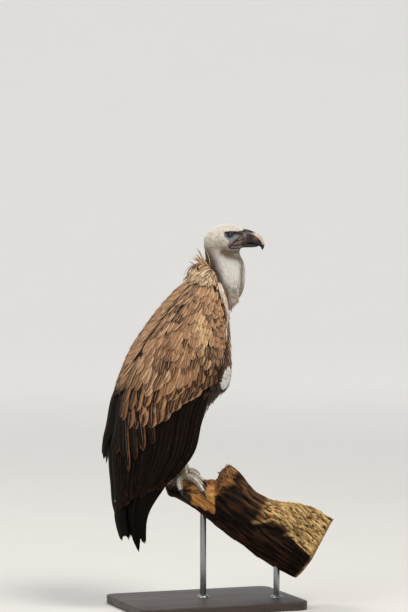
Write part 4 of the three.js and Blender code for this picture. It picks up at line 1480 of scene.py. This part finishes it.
def upper_bill():
    """The hooked upper bill, with its nostrils, the step at the cere and growth lines."""
    shape = bmesh.new()
    rod(shape, 64, 56, bill_put(BILL_UPPER, 2.1))
    relax(shape, 1)
    mesh = finished(shape, "bill_upper_horn")
    place, way = surface_of(mesh)
    ahead, aside, up = head_axes(place)
    step = -0.7 * ease(124, 126, ahead) * (1 - ease(134, 146, ahead))
    nostril = drawn(ahead, up, [(-2.6, *NOSTRIL, 1.5), (0.5, *NOSTRIL, 3.4)]) * ease(6, 9, np.abs(aside))
    growth = 0.1 * np.sin(1.6 * ahead + 0.7 * up) * ease(126, 132, ahead)
    reshape(mesh, place + way * (step + nostril + growth)[:, None])
    paint(mesh, "Markings and painted light", upper_bill_colours(ahead, up))
    return mesh


def upper_bill_colours(ahead, up):
    """Grey-brown base, dark sides, a cream ridge toward the tip, a painted highlight on the side and a black
    hook.
    """
    cream = ease(131, 144, ahead) * (1 - ease(3.5, 8.5, read(BILL_RIDGE, ahead) - up)) * ease(620, 629, up)
    return washed(
        HORN_DARK, (CERE_SKIN, 0.9 * (1 - ease(122, 128, ahead))),
        (GAPE_SKIN, 0.5 * spot(ahead, up, (114, 651), (5, 7))),
        (HORN_DARK, 0.8 * spot(ahead, up, (125, 656), (6, 8))), (HORN_CREAM, 0.9 * cream),
        # Painted highlight: a paler brown patch on the side of the bill.
        (colour("8A6A5A"), 0.55 * spot(ahead, up, (142, 641), (8, 6)) * (1 - cream)),
        (colour("1C1A1F"), (1 - ease(617, 622, up)) * ease(140, 150, ahead)),
        (colour("0E0B0A"), stroke(ahead, up, *NOSTRIL, 1.5)),
    )


def lower_bill():
    shape = bmesh.new()
    rod(shape, 36, 40, bill_put(BILL_LOWER, 2.2))
    mesh = finished(shape, "bill_lower_horn")
    ahead = head_axes(millimetres(of_vertices(mesh)))[0]
    paint(mesh, "Markings and painted light", mix(HORN_DARK, CERE_SKIN, 1 - ease(104, 118, ahead)))
    return mesh


def eyeball(side):
    """The eye, its pupil looking out to the side and a little ahead."""
    shape = bmesh.new()
    bmesh.ops.create_uvsphere(shape, u_segments=48, v_segments=32, radius=EYE["radius"])
    mesh = finished(shape, "eye")
    ball = of_vertices(mesh)
    look = unit(np.array([0.34, side * 0.93, 0.02]))
    level = unit(np.cross(look, (0, 0, 1.0)))
    placed = ball[:, 2:] * look + ball[:, :1] * level + ball[:, 1:2] * np.cross(level, look)
    away = np.degrees(np.arccos(np.clip(ball[:, 2] / EYE["radius"], -1, 1)))
    cornea = 0.5 * np.exp(-((away / 34) ** 2))
    placed = placed * (1 + cornea / EYE["radius"])[:, None]
    placed = placed + np.array([EYE["ahead"], side * EYE["aside"], EYE["up"]])
    reshape(mesh, on_head(*placed.T))
    paint(mesh, "Markings and painted light", washed(
        colour("2A170B"), (colour("4E2E17"), ease(18, 28, away)), (colour("070505"), 1 - ease(17, 20, away)),
        (colour("1A110C"), ease(46, 52, away)),
    ))
    return mesh


def eyelids(side):
    """The rim of both lids, a soft fold lying on the eyeball."""
    shape = bmesh.new()
    ring = bmesh.ops.create_circle(shape, segments=10, radius=1)["verts"]
    upright = Vector((0, 1, 0)).to_track_quat("Z", "X").to_matrix()
    bmesh.ops.translate(shape, verts=ring, vec=(LID_SPIN, 0, 0))
    bmesh.ops.rotate(shape, verts=ring, cent=(LID_SPIN, 0, 0), matrix=upright)
    bmesh.ops.spin(
        shape, geom=shape.verts[:] + shape.edges[:], cent=(0, 0, 0), axis=(0, 0, 1), angle=2 * math.pi,
        steps=72, use_merge=True,
    )
    bmesh.ops.remove_doubles(shape, verts=shape.verts, dist=1e-4)
    mesh = finished(shape, "lids")
    fold = of_vertices(mesh)
    turn = np.arctan2(fold[:, 1], fold[:, 0])
    grow = 1.06 + 0.1 * (np.hypot(fold[:, 0], fold[:, 1]) - LID_SPIN)
    thick = 1.05 + 0.45 * np.maximum(0, np.sin(turn))
    across = OPENING["long"] * grow * np.cos(turn)
    high = OPENING["high"] * grow * np.sin(turn) * (1 - 0.12 * np.cos(turn) ** 2)
    ahead, up = OPENING["ahead"] + across, OPENING["up"] + OPENING["tilt"] * across + high
    aside = eye_surface(ahead, up) + 0.25 + thick * fold[:, 2]
    reshape(mesh, on_head(ahead, side * aside, up))
    paint(mesh, "Markings and painted light", mix(FACE_DARK, FACE_BLUE, 0.75 * (1 - ease(-0.5, 0.25, np.sin(turn)))))
    return mesh


def claw(toe):
    """A claw, curved from the end of its toe to its point."""
    arch, end, point = (headed(*p) for p in toe)
    way = unit(end - arch)
    shape = bmesh.new()
    limb(shape, [end - 2 * way, (end + point) / 2 + 3.5 * way, point], CLAW_RADII, 16, 18)
    mesh = finished(shape, "claw")
    paint(mesh, "Markings and painted light", CLAW_BLACK)
    return mesh


# ---------------------------------------------------------------- perch and stand


def on_slope(place):
    """Down, aside and out along the perch, of points in the bird's axes."""
    ahead, aside, up = along_heading(place)
    c, s = math.cos(PERCH_SLOPE), math.sin(PERCH_SLOPE)
    return ahead * c - up * s, aside, ahead * s + up * c


def perch():
    """The limb: barked below, broken and splintered at its upper end, rotted along its upper face."""
    mesh = finished(wrapped(from_cad("perch_log"), PERCH_GRAIN), "perch_limb")
    place, way = surface_of(mesh)
    slope = np.stack(on_slope(place), -1)
    down, aside, out = slope.T
    ahead, _, up = along_heading(place)
    facing = way @ on_perch(0.0, 0.0, 1.0)
    sawn = ease(SAWN_END - 6, SAWN_END, down)
    open_face = ease(146, 172, down + 8 * rough(slope, (20, 14, 14), 6)) * ease(0.05, 0.45, facing)
    open_face = open_face * (1 - sawn)
    end = 1 - ease(BROKEN_END, BROKEN_END + 8, down)
    broken = np.clip((1 - ease(40, 60, down)) * ease(0.1, 0.5, way[:, 2]) + end, 0, 1)
    bark = np.clip(1 - open_face - broken, 0, 1) * (1 - sawn)
    fibres = rough(slope, (70, 7, 7)) + 0.6 * rough(slope, (40, 3.2, 3.2), 1)
    # Long grooves, sunk into the wood and painted dark as shade.
    groove = np.exp(-((rough(slope, (110, 15, 15), 2) / 0.075) ** 2))
    plates = rough(slope, (44, 12, 12), 3)
    pits = np.maximum(0, rough(slope, (15, 3.6, 3.6), 4) - 0.14)
    # The hollow of the broken end, sunk into the wood and painted near black as shade.
    hollow_and_shade = spot(ahead, up, (-60, 2), (17, 14)) * (aside < 12) * (1 - sawn)
    swell = bark * (2.0 * fibres + 2.2 * plates - 4.5 * groove)
    swell = swell + open_face * (3.6 * fibres + 1.2 * plates - 7 * pits - 5 * groove)
    swell = swell + broken * (2.4 * rough(slope, (16, 5, 5), 5) + 1.4 * fibres)
    swell = np.clip(swell * (1 - sawn) - 12 * hollow_and_shade, -13, 3.5)
    swell = swell + 13 * spot(ahead, up, (-76, -10), (20, 18))
    reshape(mesh, place + way * swell[:, None])

    # Painted light: paler brown over the limb's upper side.
    upper = ease(30, 75, out) * ease(60, 100, down)
    weathered = washed(
        colour("96622F"), (colour("FFD691"), np.clip(0.6 + 1.1 * fibres + 0.2 * plates, 0, 1)),
        (colour("958848"), 0.25 * np.clip(rough(slope, (30, 16, 16), 7) * 2, 0, 1)),
        # Painted shade in the pits.
        (colour("20150D"), np.clip(5 * pits, 0, 0.9)),
    )
    torn = mix(colour("7A4C28"), colour("C98C50"), np.clip(0.5 + fibres, 0, 1))
    near = 1 - ease(-5, 25, aside)
    ragged = 5 * rough(slope, (9, 9, 9), 8)
    lower_edge = -42 - 0.3 * (ahead + 10) + ragged
    window = ease(-26, -20, ahead + ragged) * (1 - ease(34, 39, ahead + ragged)) * near
    window = window * ease(0, 4, up - lower_edge) * (1 - ease(10, 22, up))
    fresh = mix(colour("BA7636"), colour("F6B66C"), np.clip(0.5 + 0.9 * fibres, 0, 1))
    moss = 0.8 * spot(ahead, up, (-34, -16), (11, 14)) * near
    # Torn wood along the raised lip, partly its own colour and partly a painted highlight along its top
    # edge.
    lip = ease(12, 20, up) * ease(38, 46, ahead) * (1 - ease(76, 96, ahead)) * (1 - ease(84, 96, down))
    lip_wood_and_highlight = mix(colour("7E5130"), colour("BE8A54"), np.clip(0.5 + fibres, 0, 1))
    rings = 0.5 + 0.5 * np.sin(0.8 * np.hypot(aside, out - 45) + 2 * rough(slope, (30, 30, 30), 9))
    paint(mesh, "Markings and painted light", washed(
        colour("150C06"), (colour("5C381D"), np.clip(0.14 + 0.6 * fibres + 0.4 * plates, 0, 1)),
        (colour("8A633F"), upper * np.clip(0.35 + 0.9 * fibres, 0, 0.8)), (weathered, open_face),
        (torn, 0.85 * broken), (fresh, 0.95 * window), (colour("5E5638"), moss), (lip_wood_and_highlight, 0.75 * lip),
        # Painted shade in the grooves and in the hollow of the broken end.
        (colour("140D08"), 0.8 * groove * (1 - window)), (colour("0F0B08"), np.clip(1.3 * hollow_and_shade, 0, 0.95)),
        (mix(colour("C09A6A"), colour("8E6A42"), rings), sawn),
    ))
    return mesh


def splinters(mesh):
    """Torn slivers of wood standing along the broken end and the raised lip of the limb."""
    coat = Coat("perch_splinters")

    def torn(place):
        ahead, _, up = along_heading(place)
        down = on_slope(place)[0]
        return ((up > 30) & (ahead > 40) & (ahead < 92) & (down < 92)) | (down < -72)

    roots, ways = scattered(mesh, torn, 5.0, 170)
    count = len(roots)
    lie = on_perch(-1.0, 0.0, 0.0) + 0.15 * ways + RNG.normal(0, 0.16, (count, 3))
    tones = mix(colour("5A3820"), colour("C08A52"), RNG.uniform(0, 1, count))
    tufts(
        coat, roots - 1.5 * ways, ways, lie, RNG.uniform(5, 12, count), RNG.uniform(1.0, 2.4, count),
        RNG.uniform(0.5, 3.0, count), tones, cell_grid(count, 20), rows=5,
    )
    return coat


def bevel(shape, edges, offset, segments):
    bmesh.ops.bevel(
        shape, geom=edges, affect="EDGES", offset=offset * MM, segments=segments, profile=0.5, material=-1
    )


def crisp(shape, name):
    """A finished mesh whose corners stay sharp."""
    mesh = finished(shape, name)
    mesh.set_sharp_from_angle(angle=math.radians(40))
    return mesh


def stand_base():
    """The board, with round corners and an eased rim."""
    low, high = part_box("stand_base")
    size = high - low
    shape = bmesh.new()
    bmesh.ops.create_cube(shape, size=1)
    bmesh.ops.scale(shape, vec=size, verts=shape.verts)
    bmesh.ops.translate(shape, vec=(low + high) / 2, verts=shape.verts)
    upright = [e for e in shape.edges if abs(e.verts[0].co.z - e.verts[1].co.z) > size.z / 2]
    bevel(shape, upright, 28, 12)
    level = [f for f in shape.faces if abs(f.normal.z) > 0.9]
    bevel(shape, [e for f in level for e in f.edges], 3, 4)
    return crisp(shape, "stand_base_board")


def stand_rod(node):
    """A rod that runs up into the limb, with a collar on the board."""
    low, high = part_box(node)
    middle = (low + high) / 2
    radius = (high.x - low.x) / 2
    shape = bmesh.new()
    bar = (1, 1, high.z - low.z + ROD_SUNK * MM, middle.z + ROD_SUNK / 2 * MM)
    collar = (2.1, 1.7, 5 * MM, low.z + 2.4 * MM)
    for foot, top, long, up in (bar, collar):
        part = bmesh.ops.create_cone(
            shape, cap_ends=True, segments=48, radius1=radius * foot, radius2=radius * top, depth=long
        )
        bmesh.ops.translate(shape, vec=(middle.x, middle.y, up), verts=part["verts"])
    bevel(shape, [e for e in shape.edges if any(len(f.verts) > 8 for f in e.link_faces)], 0.7, 2)
    return crisp(shape, node + "_bar")


# ---------------------------------------------------------------- materials


def feed(socket, value):
    """Links a socket to another, or gives it a plain value."""
    if isinstance(value, bpy.types.NodeSocket):
        socket.id_data.links.new(value, socket)
    else:
        socket.default_value = value


class Nodes:
    """Adds shader nodes to one tree."""

    def __init__(self, tree):
        self.tree = tree

    def add(self, kind, inputs=None, out=0, **settings):
        made = self.tree.nodes.new("ShaderNode" + kind)
        for name, value in settings.items():
            setattr(made, name, value)
        for key, value in (inputs or {}).items():
            feed(made.inputs[key], value)
        return made.outputs[out]

    def maths(self, operation, a, b=0.0):
        return self.add("Math", {0: a, 1: b}, operation=operation)

    def plus(self, a, b):
        return self.maths("ADD", a, b)

    def minus(self, a, b):
        return self.maths("SUBTRACT", a, b)

    def times(self, a, b):
        return self.maths("MULTIPLY", a, b)

    def larger(self, a, b):
        return self.maths("MAXIMUM", a, b)

    def ease(self, value, low, high, to_low=0.0, to_high=1.0):
        return self.add(
            "MapRange", {0: value, 1: low, 2: high, 3: to_low, 4: to_high}, interpolation_type="SMOOTHSTEP"
        )

    def blend(self, share, a, b, mode="MIX"):
        return self.add("Mix", {0: share, 6: a, 7: b}, out=2, data_type="RGBA", blend_type=mode)

    def darkened(self, colour, share):
        """A colour made darker by a share from 0 to 1."""
        left = self.minus(1.0, share)
        grey = self.add("CombineColor", {0: left, 1: left, 2: left})
        return self.blend(1.0, colour, grey, "MULTIPLY")

    def noise(self, place, size, detail, roughness=0.5):
        return self.add(
            "TexNoise", {"Vector": place, "Scale": size, "Detail": detail, "Roughness": roughness}
        )


def group(name, inputs, outputs):
    """A shader node group with the sockets named, and its input and output nodes."""
    tree = bpy.data.node_groups.new(name, "ShaderNodeTree")
    for label, kind, value in inputs:
        socket = tree.interface.new_socket(name=label, in_out="INPUT", socket_type="NodeSocket" + kind)
        socket.default_value = value
    for label, kind in outputs:
        tree.interface.new_socket(name=label, in_out="OUTPUT", socket_type="NodeSocket" + kind)
    return tree, tree.nodes.new("NodeGroupInput").outputs, tree.nodes.new("NodeGroupOutput").inputs


WHITE = (1, 1, 1, 1)


def vane_pattern():
    """The pattern of one feather: darker web, paler rim, shaft, and the fine lines of its barbs."""
    tree, given, result = group(
        "Vane pattern",
        [
            ("Web", "Color", WHITE), ("Rim", "Color", WHITE), ("Shaft", "Color", WHITE),
            ("Outer width", "Float", 0.3), ("Inner width", "Float", 0.12), ("Tip width", "Float", 0.2),
            ("Shaft place", "Float", 0.5), ("Shaft width", "Float", 0.05), ("Barb strength", "Float", 0.3),
            ("Streak", "Float", 0.0), ("Shaft everywhere", "Float", 0.0), ("Softness", "Float", 0.32),
        ],
        [("Color", "Color"), ("Height", "Float"), ("Roughness", "Float")],
    )
    nodes = Nodes(tree)
    spread = nodes.add("UVMap", uv_map="Vane")
    across = nodes.add("SeparateXYZ", {0: spread})
    along = nodes.add("SeparateXYZ", {0: spread}, out=1)
    here = nodes.add("TexCoord", out=3)
    wobble = nodes.times(nodes.minus(nodes.noise(here, 90.0, 2.0), 0.5), 0.3)
    from_shaft = nodes.maths("ABSOLUTE", nodes.minus(across, given["Shaft place"]))

    def edge(place, width):
        start = nodes.minus(1.0, width)
        return nodes.ease(nodes.plus(place, wobble), start, nodes.plus(start, given["Softness"]))

    outer = edge(across, given["Outer width"])
    inner = edge(nodes.minus(1.0, across), given["Inner width"])
    tip = edge(nodes.plus(along, nodes.times(from_shaft, 0.25)), given["Tip width"])
    rim = nodes.larger(nodes.larger(outer, inner), tip)
    slant = nodes.times(nodes.minus(along, nodes.times(from_shaft, 0.4)), 46.0)
    barb_place = nodes.add("CombineXYZ", {0: nodes.times(across, 2.0), 1: slant})
    apart = nodes.add("VectorMath", {0: here, 3: 9.0}, operation="SCALE")
    barbs = nodes.noise(nodes.add("VectorMath", {0: barb_place, 1: apart}), 1.0, 3.0, 0.6)
    web = nodes.blend(rim, given["Web"], given["Rim"])
    streak = nodes.times(nodes.ease(from_shaft, 0.3, 0.02), given["Streak"])
    streak = nodes.times(streak, nodes.minus(1.0, tip))
    lines = nodes.times(nodes.ease(barbs, 0.75, 0.25), given["Barb strength"])
    web = nodes.darkened(web, nodes.larger(streak, lines))
    shaft = nodes.times(nodes.ease(from_shaft, given["Shaft width"], 0.0), nodes.ease(along, 1.0, 0.75))
    paleness = nodes.ease(nodes.add("RGBToBW", {0: given["Rim"]}), 0.02, 0.2)
    shaft = nodes.times(shaft, nodes.larger(paleness, given["Shaft everywhere"]))
    feed(result["Color"], nodes.blend(shaft, web, given["Shaft"]))
    feed(result["Height"], nodes.plus(nodes.times(barbs, 0.5), shaft))
    feed(result["Roughness"], nodes.ease(barbs, 0.2, 0.8, 0.5, 0.8))
    return tree


def two_noises(nodes, place, broad, fine):
    """Three parts of one noise and two of another, each with its size, detail and roughness."""
    return nodes.plus(
        nodes.times(nodes.noise(place, *broad), 0.6), nodes.times(nodes.noise(place, *fine), 0.4)
    )


def mottle_pattern():
    """Small cloudy changes of colour over a marking, with a fine grain for bump."""
    tree, given, result = group(
        "Mottle",
        [("Markings and painted light", "Color", WHITE), ("Size", "Float", 60.0), ("Strength", "Float", 0.3)],
        [("Color", "Color"), ("Height", "Float"), ("Mask", "Float")],
    )
    nodes = Nodes(tree)
    finer = nodes.times(given["Size"], 9.0)
    both = two_noises(nodes, nodes.add("TexCoord", out=3), (given["Size"], 4.0, 0.6), (finer, 3.0))
    dark = nodes.times(nodes.ease(both, 0.7, 0.3), given["Strength"])
    feed(result["Color"], nodes.darkened(given["Markings and painted light"], dark))
    feed(result["Height"], both)
    feed(result["Mask"], nodes.ease(both, 0.35, 0.65))
    return tree


def grain_pattern():
    """Wood grain running along X of the place given."""
    tree, given, result = group(
        "Wood grain",
        [
            ("Markings and painted light", "Color", WHITE), ("Place", "Vector", (0, 0, 0)), ("Fineness", "Float", 300.0),
            ("Strength", "Float", 0.5),
        ],
        [("Color", "Color"), ("Height", "Float"), ("Roughness", "Float")],
    )
    nodes = Nodes(tree)
    drawn_out = nodes.add("VectorMath", {0: given["Place"], 1: (0.06, 1.0, 1.0)}, operation="MULTIPLY")
    broader = nodes.times(given["Fineness"], 0.2)
    both = two_noises(nodes, drawn_out, (given["Fineness"], 5.0, 0.65), (broader, 3.0))
    dark = nodes.times(nodes.ease(both, 0.66, 0.36), given["Strength"])
    feed(result["Color"], nodes.darkened(given["Markings and painted light"], dark))
    feed(result["Height"], both)
    feed(result["Roughness"], nodes.ease(both, 0.3, 0.7, 0.9, 0.6))
    return tree


class Finish:
    """A material of its own, with the shader and the groups placed in it."""

    def __init__(self, name):
        self.material = bpy.data.materials.new(name)
        self.material.use_nodes = True
        tree = self.material.node_tree
        tree.nodes.clear()
        self.nodes = Nodes(tree)
        self.shader = tree.nodes.new("ShaderNodeBsdfPrincipled")
        end = tree.nodes.new("ShaderNodeOutputMaterial")
        feed(end.inputs[0], self.shader.outputs[0])

    def marking(self, name="Markings and painted light"):
        return self.nodes.add("Attribute", attribute_name=name)

    def place(self, tree, inputs):
        return self.nodes.add("Group", inputs, node_tree=tree).node.outputs

    def set(self, **values):
        for key, value in values.items():
            feed(self.shader.inputs[key.replace("_", " ")], value)

    def bump(self, height, distance, strength):
        made = self.nodes.add("Bump", {"Height": height, "Distance": distance * MM, "Strength": strength})
        feed(self.shader.inputs["Normal"], made)
        return self.material


VANE = vane_pattern()
MOTTLE = mottle_pattern()
GRAIN = grain_pattern()


def plain(code):
    return (*colour(code), 1)


def feather_finish(name, shaft, barbs=0.3, gloss=0.16, **pattern):
    made = Finish(name)
    values = {"Web": made.marking("Web"), "Rim": made.marking("Rim"), "Shaft": plain(shaft)}
    values["Barb strength"] = barbs
    values.update({key.replace("_", " "): value for key, value in pattern.items()})
    out = made.place(VANE, values)
    made.set(Base_Color=out["Color"], Roughness=out["Roughness"], Specular_IOR_Level=gloss)
    return made.bump(out["Height"], 0.35, 0.6)


def mottled_finish(name, size, strength, roughness, bump, marking="Markings and painted light", tint=None, **extra):
    """A cloudy finish over a marking or a plain tint.

    roughness is the smoothest and the roughest, bump its height and strength.
    """
    made = Finish(name)
    colours = plain(tint) if tint else made.marking(marking)
    out = made.place(MOTTLE, {"Markings and painted light": colours, "Size": size, "Strength": strength})
    made.set(Base_Color=out["Color"], Roughness=made.nodes.ease(out["Mask"], 0.0, 1.0, *roughness), **extra)
    return made.bump(out["Height"], *bump)


def down_finish(name):
    return mottled_finish(
        name, 140.0, 0.14, (0.8, 0.95), (0.2, 0.4), "Web", Specular_IOR_Level=0.15, Sheen_Weight=0.15
    )


def limb_finish():
    made = Finish("weathered limb")
    here = made.nodes.add("TexCoord", out=3)
    turned = made.nodes.add(
        "Mapping", {"Vector": here, "Rotation": (0, -PERCH_SLOPE, -HEADING)}, vector_type="POINT"
    )
    out = made.place(
        GRAIN, {"Markings and painted light": made.marking(), "Place": turned, "Fineness": 420.0, "Strength": 0.6}
    )
    made.set(Base_Color=out["Color"], Roughness=out["Roughness"], Specular_IOR_Level=0.1)
    return made.bump(out["Height"], 1.4, 0.8)


def board_finish():
    made = Finish("dark stained board")
    here = made.nodes.add("TexCoord", out=3)
    out = made.place(
        GRAIN, {"Markings and painted light": plain("4A3B33"), "Place": here, "Fineness": 260.0, "Strength": 0.5}
    )
    made.set(Base_Color=out["Color"], Roughness=made.nodes.ease(out["Roughness"], 0.5, 0.9, 0.32, 0.5))
    return made.bump(out["Height"], 0.15, 0.5)


# ---------------------------------------------------------------- the pieces


def build():
    bare = mottled_finish("bare skin", 180.0, 0.35, (0.55, 0.8), (0.35, 0.8), Specular_IOR_Level=0.35)
    horn = mottled_finish("horn of the bill", 90.0, 0.25, (0.28, 0.45), (0.12, 0.8), Specular_IOR_Level=0.3)
    claw_horn = mottled_finish("horn of the claws", 120.0, 0.3, (0.3, 0.5), (0.1, 0.8))
    eye = mottled_finish(
        "eye", 900.0, 0.2, (0.05, 0.1), (0.0, 0.8), Coat_Weight=0.3, Specular_IOR_Level=0.35
    )
    steel = mottled_finish(
        "brushed steel", 120.0, 0.15, (0.28, 0.42), (0.05, 0.3), tint="A3A5A7", Metallic=1.0
    )
    coverts = feather_finish(
        "covert feathers", "D6B48C", 0.5, Outer_width=0.32, Inner_width=0.12, Tip_width=0.06,
        Shaft_width=0.05, Streak=0.75,
    )
    greater = feather_finish(
        "greater covert feathers", "A98463", 0.5, Outer_width=0.42, Inner_width=0.0, Tip_width=0.04,
        Shaft_place=0.48, Shaft_width=0.03, Softness=0.3,
    )
    flight = feather_finish(
        "flight feathers", "3A2B20", 0.35, 0.06, Outer_width=0.14, Inner_width=0.06, Tip_width=0.05,
        Shaft_place=0.58, Shaft_width=0.03, Shaft_everywhere=0.7,
    )
    tertials = feather_finish(
        "tertial feathers", "A8937E", 0.3, 0.1, Outer_width=0.3, Inner_width=0.0, Tip_width=0.05,
        Shaft_place=0.6, Shaft_width=0.03, Shaft_everywhere=0.2,
    )
    ruff = feather_finish(
        "ruff feathers", "F0DFC4", 0.3, Outer_width=0.3, Inner_width=0.3, Tip_width=0.3, Shaft_width=0.12
    )
    scutes = feather_finish(
        "scales of the feet", "C9BFAE", 0.25, Outer_width=0.08, Inner_width=0.08, Tip_width=0.3,
        Shaft_width=0.01,
    )
    down = down_finish("down")

    skin = make_skin()
    flesh_nodes = ["head", "neck", "trunk", "thigh_left", "thigh_right", "shank_left", "shank_right"]
    flesh_nodes += [f"toe_{name}_{i}" for name in LEGS for i in range(1, 5)]
    show("skin", skin, bare, "foot_skin", *flesh_nodes)
    head_down(skin).show(down, "down")
    neck_down(skin).show(down, "down")
    crop_feathers(skin).show(down, "down")
    leg_feathers(skin).show(down, "brown_feathers")
    foot_scales(skin).show(scutes, "foot_skin")
    for side, name in ((1, "left"), (-1, "right")):
        covert_feathers(side, name).show(coverts, "brown_feathers", f"wing_{name}_coverts")
        greater_covert_feathers(side, name).show(greater, "brown_feathers")
        secondary_feathers(side, name).show(flight, "flight_feathers", f"wing_{name}_secondaries")
        tertial_feathers(side, name).show(tertials, "flight_feathers")
        primary_feathers(side, name).show(flight, "flight_feathers", f"wing_{name}_primaries")
        show(f"eyeball_{name}", eyeball(side), eye, "eye", f"eye_{name}")
        show(f"eyelids_{name}", eyelids(side), bare, "foot_skin")
        for i, toe in enumerate(LEGS[name]["toes"]):
            node = f"claw_{name}_{i + 1}"
            show(node + "_horn", claw(toe), claw_horn, "claw_horn", node)
    back_feathers().show(coverts, "brown_feathers")
    breast_feathers().show(coverts, "brown_feathers")
    edge_down().show(down, "down")
    tail_feathers().show(flight, "flight_feathers", "tail")
    ruff_feathers().show(ruff, "ruff_feathers", "ruff")
    show("bill_upper_horn", upper_bill(), horn, "bill_horn", "bill_upper")
    show("bill_lower_horn", lower_bill(), horn, "bill_horn", "bill_lower")
    limb_mesh = perch()
    show("perch_limb", limb_mesh, limb_finish(), "perch_wood", "perch_log")
    splinters(limb_mesh).show(down_finish("torn wood"), "perch_wood")
    show("stand_base_board", stand_base(), board_finish(), "base_wood", "stand_base")
    for node in ("stand_rod_back", "stand_rod_front"):
        show(node + "_bar", stand_rod(node), steel, "rod_steel", node)


# ---------------------------------------------------------------- studio


FLOOR_RADIUS = 11  # metres, as all the studio's sizes are
FLOOR_BEND = 5  # radius of the curve that the floor's rim turns up with
LOOK_AT = Vector((-0.0024, 0.0105, 0.769))
VIEW_HEIGHT = 1.5606  # how much the camera takes in at that place
CAMERA_DISTANCE = 8.0
CAMERA_RISE = math.radians(3)
SENSOR = 36  # millimetres
# Lamps: right of the camera, away from it and up, from the place looked at, then size, watts and tint.
LAMPS = {
    "key": (1.6, -1.5, 3.2, 1.6, 95, (1, 0.965, 0.91)),
    "fill": (-2.4, -2.2, 1.6, 2.2, 32, (0.95, 0.97, 1)),
    "back": (-1.2, 2.2, 3.0, 1.6, 55, (1, 0.97, 0.92)),
}


def pale_floor():
    """A pale round floor that curves up far away on every side and glows there."""
    shape = bmesh.new()
    bmesh.ops.create_circle(shape, cap_ends=True, segments=96, radius=FLOOR_RADIUS)
    steps = 12
    for step in range(1, steps + 1):
        rim = [e for e in shape.edges if len(e.link_faces) == 1]
        made = bmesh.ops.extrude_edge_only(shape, edges=rim)["geom"]
        angle = math.radians(75 * step / steps)
        for v in (g for g in made if isinstance(g, bmesh.types.BMVert)):
            flat = Vector((v.co.x, v.co.y, 0)).normalized() * (FLOOR_RADIUS + FLOOR_BEND * math.sin(angle))
            v.co = (flat.x, flat.y, FLOOR_BEND * (1 - math.cos(angle)))
    backdrop = Finish("pale floor")
    out = backdrop.place(MOTTLE, {"Markings and painted light": plain("DEDBD6"), "Size": 3.0, "Strength": 0.03})
    nodes = backdrop.nodes
    distance = nodes.add("VectorMath", {0: nodes.add("TexCoord", out=3)}, out=1, operation="LENGTH")
    seen = nodes.plus(nodes.add("LightPath", out=0), nodes.add("LightPath", out=3))
    glow = nodes.times(nodes.ease(distance, 0.9, 8.0, 0.0, 0.42), seen)
    backdrop.set(Base_Color=out["Color"], Roughness=0.9, Specular_IOR_Level=0.1)
    backdrop.set(Emission_Color=plain("F2F0EC"), Emission_Strength=glow)
    floor = placed("floor", finished(shape, "floor"))
    floor.data.materials.append(backdrop.material)


def aimed(name, data, place, way):
    """Places a lamp or camera, looking the way given."""
    made = placed(name, data)
    made.location = place
    made.rotation_mode = "QUATERNION"
    made.rotation_quaternion = way.to_track_quat("-Z", "Y")
    return made


def studio():
    """The floor, soft lamps and light from all round, and the camera."""
    pale_floor()
    world = bpy.data.worlds.new("soft light")
    bpy.context.scene.world = world
    world.use_nodes = True
    sky = world.node_tree.nodes["Background"].inputs
    sky[0].default_value = (0.93, 0.96, 1.0, 1)
    sky[1].default_value = 0.55

    ahead = Vector((-math.sin(HEADING), math.cos(HEADING), 0))
    right = Vector((math.cos(HEADING), math.sin(HEADING), 0))
    for name, (across, away, up, size, power, tint) in LAMPS.items():
        lamp = bpy.data.lights.new(name, "AREA")
        lamp.shape = "DISK"
        lamp.size = size
        lamp.energy = power
        lamp.color = tint
        place = right * across + ahead * away + Vector((0, 0, up))
        aimed(name, lamp, LOOK_AT + place, -place)

    camera = bpy.data.cameras.new("camera")
    camera.sensor_width = SENSOR
    camera.lens = SENSOR * CAMERA_DISTANCE / VIEW_HEIGHT
    camera.clip_end = 60
    look = ahead * math.cos(CAMERA_RISE) - Vector((0, 0, math.sin(CAMERA_RISE)))
    bpy.context.scene.camera = aimed("camera", camera, LOOK_AT - look * CAMERA_DISTANCE, look)
    bpy.context.scene.view_settings.view_transform = "Standard"


build()
studio()
